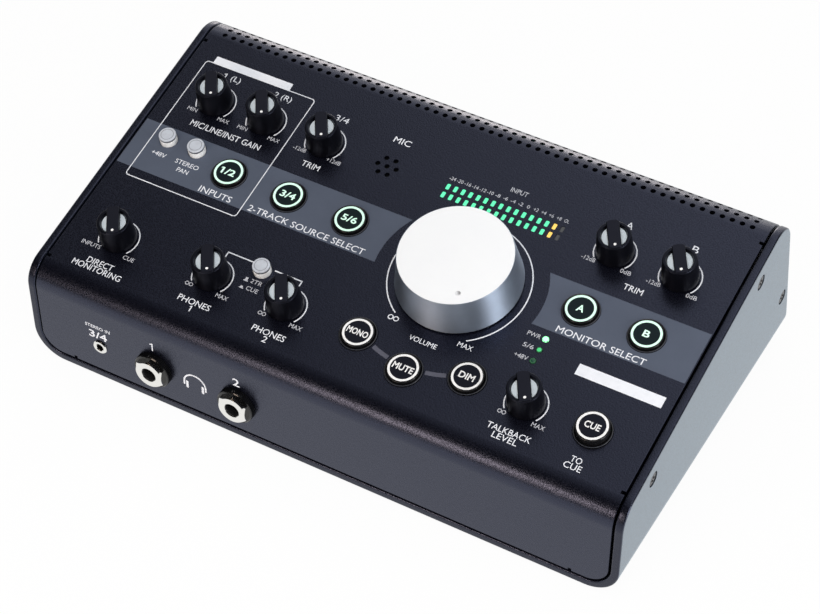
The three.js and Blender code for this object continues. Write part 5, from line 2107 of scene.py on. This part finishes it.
@dataclass
class Studio:
    """The floor, the light and the camera."""

    focal: float = 2374.494
    image_width: float = 820.0
    spot: Corner = (367.756, -567.421, 771.058)
    right: Corner = (0.871151, 0.491016, 0.000106)
    down: Corner = (0.346885, -0.615283, -0.707883)
    ahead: Corner = (-0.347516, 0.616709, -0.70633)
    ambient: float = 0.6
    ceiling_side: Corner = (0.6, 0.8, 0.0)
    ceiling_step: Point = (-0.08, 0.14)
    ceiling_height: Point = (0.6, 0.86)
    zenith_step: Point = (0.885, 0.955)
    zenith_level: float = 0.3
    back_side: Corner = (-0.375, 0.927, 0.0)
    back_step: Point = (0.45, 0.85)
    floor_reach: float = 3.0
    floor_mix: float = 0.95
    floor_tone: float = 0.86

    def camera(self) -> None:
        """Sets the camera at the photograph's angle."""
        lens = bpy.data.cameras.new("camera")
        lens.sensor_width = 36.0
        lens.lens = self.focal / self.image_width * lens.sensor_width
        lens.clip_start = 0.01
        turn = Matrix((Vector(self.right), -Vector(self.down), -Vector(self.ahead))).transposed().to_4x4()
        spot = Vector(self.spot) + Vector((0, SIZES.shift, SIZES.foot_height))
        holder = linked("camera", lens)
        holder.matrix_world = Matrix.Translation(spot * MM) @ turn
        bpy.context.scene.camera = holder

    @staticmethod
    def most(wires: Wires, *values: Socket) -> Socket:
        """Adds a socket with the greatest of some values.

        Args:
            wires: the tree.
            values: the values.

        Returns:
            The socket.
        """
        total = values[0]
        for value in values[1:]:
            total = wires.add("ShaderNodeMath", {0: total, 1: value}, operation="MAXIMUM").outputs["Value"]
        return total

    def towards(self, wires: Wires, way: Socket, side: Corner, step: Point, level: float = 1.0) -> Socket:
        """Adds a level that rises softly towards one side of the surround.

        Args:
            wires: the tree.
            way: the direction looked in.
            side: the bright side.
            step: cosines to it at which the level starts and stops to rise.
            level: the greatest level.

        Returns:
            The level.
        """
        cosine = wires.add("ShaderNodeVectorMath", {0: way, 1: side}, operation="DOT_PRODUCT")
        rise = wires.add("ShaderNodeMapRange", {
            "Value": cosine.outputs["Value"], "From Min": step[0], "From Max": step[1], "To Max": level,
        }, interpolation_type="SMOOTHSTEP")
        return rise.outputs["Result"]

    def sky(self, wires: Wires) -> Socket:
        """Adds the level of the surround in what shines: a white back and a ceiling that is white on one side.

        Args:
            wires: the world's tree.

        Returns:
            The level.
        """
        way = wires.add("ShaderNodeTexCoord").outputs["Generated"]
        high = self.towards(wires, way, UP, self.ceiling_height)
        side = self.towards(wires, way, self.ceiling_side, self.ceiling_step)
        ceiling = wires.add("ShaderNodeMath", {0: high, 1: side}, operation="MULTIPLY")
        zenith = self.towards(wires, way, UP, self.zenith_step, self.zenith_level)
        back = self.towards(wires, way, self.back_side, self.back_step)
        return self.most(wires, ceiling.outputs["Value"], zenith, back)

    def show(self, wires: Wires, plain: Socket, bright: Socket, share: float, output: str) -> None:
        """Shows camera, glossy and transmission rays a brighter shader.

        Args:
            wires: the tree.
            plain: what the other rays meet.
            bright: the brighter shader.
            share: how much of it is mixed in.
            output: name of the tree's output.
        """
        rays = wires.add("ShaderNodeLightPath").outputs
        seen = self.most(wires, rays["Is Camera Ray"], rays["Is Glossy Ray"], rays["Is Transmission Ray"])
        part = wires.add("ShaderNodeMath", {0: seen, 1: share}, operation="MULTIPLY")
        mix = wires.add("ShaderNodeMixShader", {"Fac": part.outputs["Value"], 1: plain, 2: bright})
        wires.feed(wires.tree.nodes[output], {"Surface": mix.outputs["Shader"]})

    def world(self) -> None:
        """Sets a white background, a plain even light, and a darker ceiling in what shines."""
        world = bpy.data.worlds.new("surround")
        world.use_nodes = True
        wires = Wires(world.node_tree)
        light = wires.feed(wires.tree.nodes["Background"], {"Color": (*WHITE, 1), "Strength": self.ambient})
        camera_ray = wires.add("ShaderNodeLightPath").outputs["Is Camera Ray"]
        level = self.most(wires, camera_ray, self.sky(wires))
        seen = wires.add("ShaderNodeBackground", {"Color": (*WHITE, 1), "Strength": level})
        self.show(wires, light.outputs["Background"], seen.outputs["Background"], 1.0, "World Output")
        bpy.context.scene.world = world

    def floor(self) -> None:
        """Makes the pale floor."""
        mesh = bpy.data.meshes.new("floor")
        reach = self.floor_reach
        mesh.from_pydata([(*place, 0) for place in oblong(-reach, -reach, reach, reach)], [], [(0, 1, 2, 3)])
        paper = bpy.data.materials.new("paper")
        paper.use_nodes = True
        wires = Wires(paper.node_tree)
        tone = self.floor_tone
        base = wires.feed(wires.tree.nodes["Principled BSDF"], {
            "Base Color": (tone, tone, tone, 1), "Roughness": 0.9, "Specular IOR Level": 0.0,
        })
        glow = wires.add("ShaderNodeEmission", {"Strength": 1.0})
        self.show(wires, base.outputs["BSDF"], glow.outputs["Emission"], self.floor_mix, "Material Output")
        mesh.materials.append(paper)
        linked("floor", mesh)

    def lamp(
        self, name: str, place: Corner, size: float, power: float, shines: bool = False, colour: Corner = WHITE,
    ) -> None:
        """Adds a square soft lamp that faces the unit.

        Args:
            name: the lamp's name.
            place: its place in metres.
            size: its width in metres.
            power: its power in watts.
            shines: whether glossy surfaces show it.
            colour: its colour.
        """
        light = bpy.data.lights.new(name, "AREA")
        light.shape = "SQUARE"
        light.size = size
        light.energy = power
        light.color = colour
        holder = linked(name, light)
        holder.location = place
        holder.rotation_euler = (-Vector(place)).to_track_quat("-Z", "Y").to_euler()
        holder.visible_glossy = shines

    def build(self) -> None:
        """Sets everything round the unit."""
        bpy.context.scene.view_settings.view_transform = "Standard"
        self.camera()
        self.world()
        self.floor()
        self.lamp("above", (0.3, -0.7, 0.98), 0.9, 6.5)
        self.lamp("right_side", (1.04, -0.24, 0.32), 0.38, 4.6, shines=True)
        self.lamp("front", (-0.3, -1.12, 0.45), 0.36, 3.1, shines=True, colour=(1.0, 0.8, 0.65))
        self.lamp("back", (-0.44, 1.14, 0.18), 0.45, 3.1, shines=True, colour=(1.0, 0.9, 0.8))


def corners(box: object) -> list[list[float]]:
    """Turns a box into plain lists of numbers."""
    return [[float(value) for value in corner] for corner in box]


WORDS = {
    "source_1": ("1/2", 6.7), "source_2": ("3/4", 7.4), "source_3": ("5/6", 7.4), "monitor_a": ("A", 3.4),
    "monitor_b": ("B", 3.0), "mono": ("MONO", 9.8), "mute": ("MUTE", 9.5), "dim": ("DIM", 7.1),
    "talkback": ("CUE", 7.0),
}
LIT = {"source_1", "source_2", "source_3", "monitor_a", "monitor_b"}
TALL = {"talkback": {"rise": 4.0, "foot": -5.8}}


def main() -> None:
    """Builds the unit and the studio."""
    logging.basicConfig(level=logging.INFO)
    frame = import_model()
    Studio().build()
    Housing().build()
    Print().build()
    VolumeKnob().build()
    for name, place in LAYOUT.knobs.items():
        SmallKnob(name, place).build()
    for name, place in LAYOUT.lit.items():
        look = RingLook.LIT if name in LIT else RingLook.PLAIN
        LitButton(name, place, *WORDS[name], look, **TALL.get(name, {})).build()
    for name, place in LAYOUT.plain.items():
        PlainButton(name, place).build()
    Collars().build()
    Meter().build()
    FrontSockets().build()
    RearSockets().build()
    InnerNodes().build(frame["nodes"])


if __name__ == "__main__":
    main()
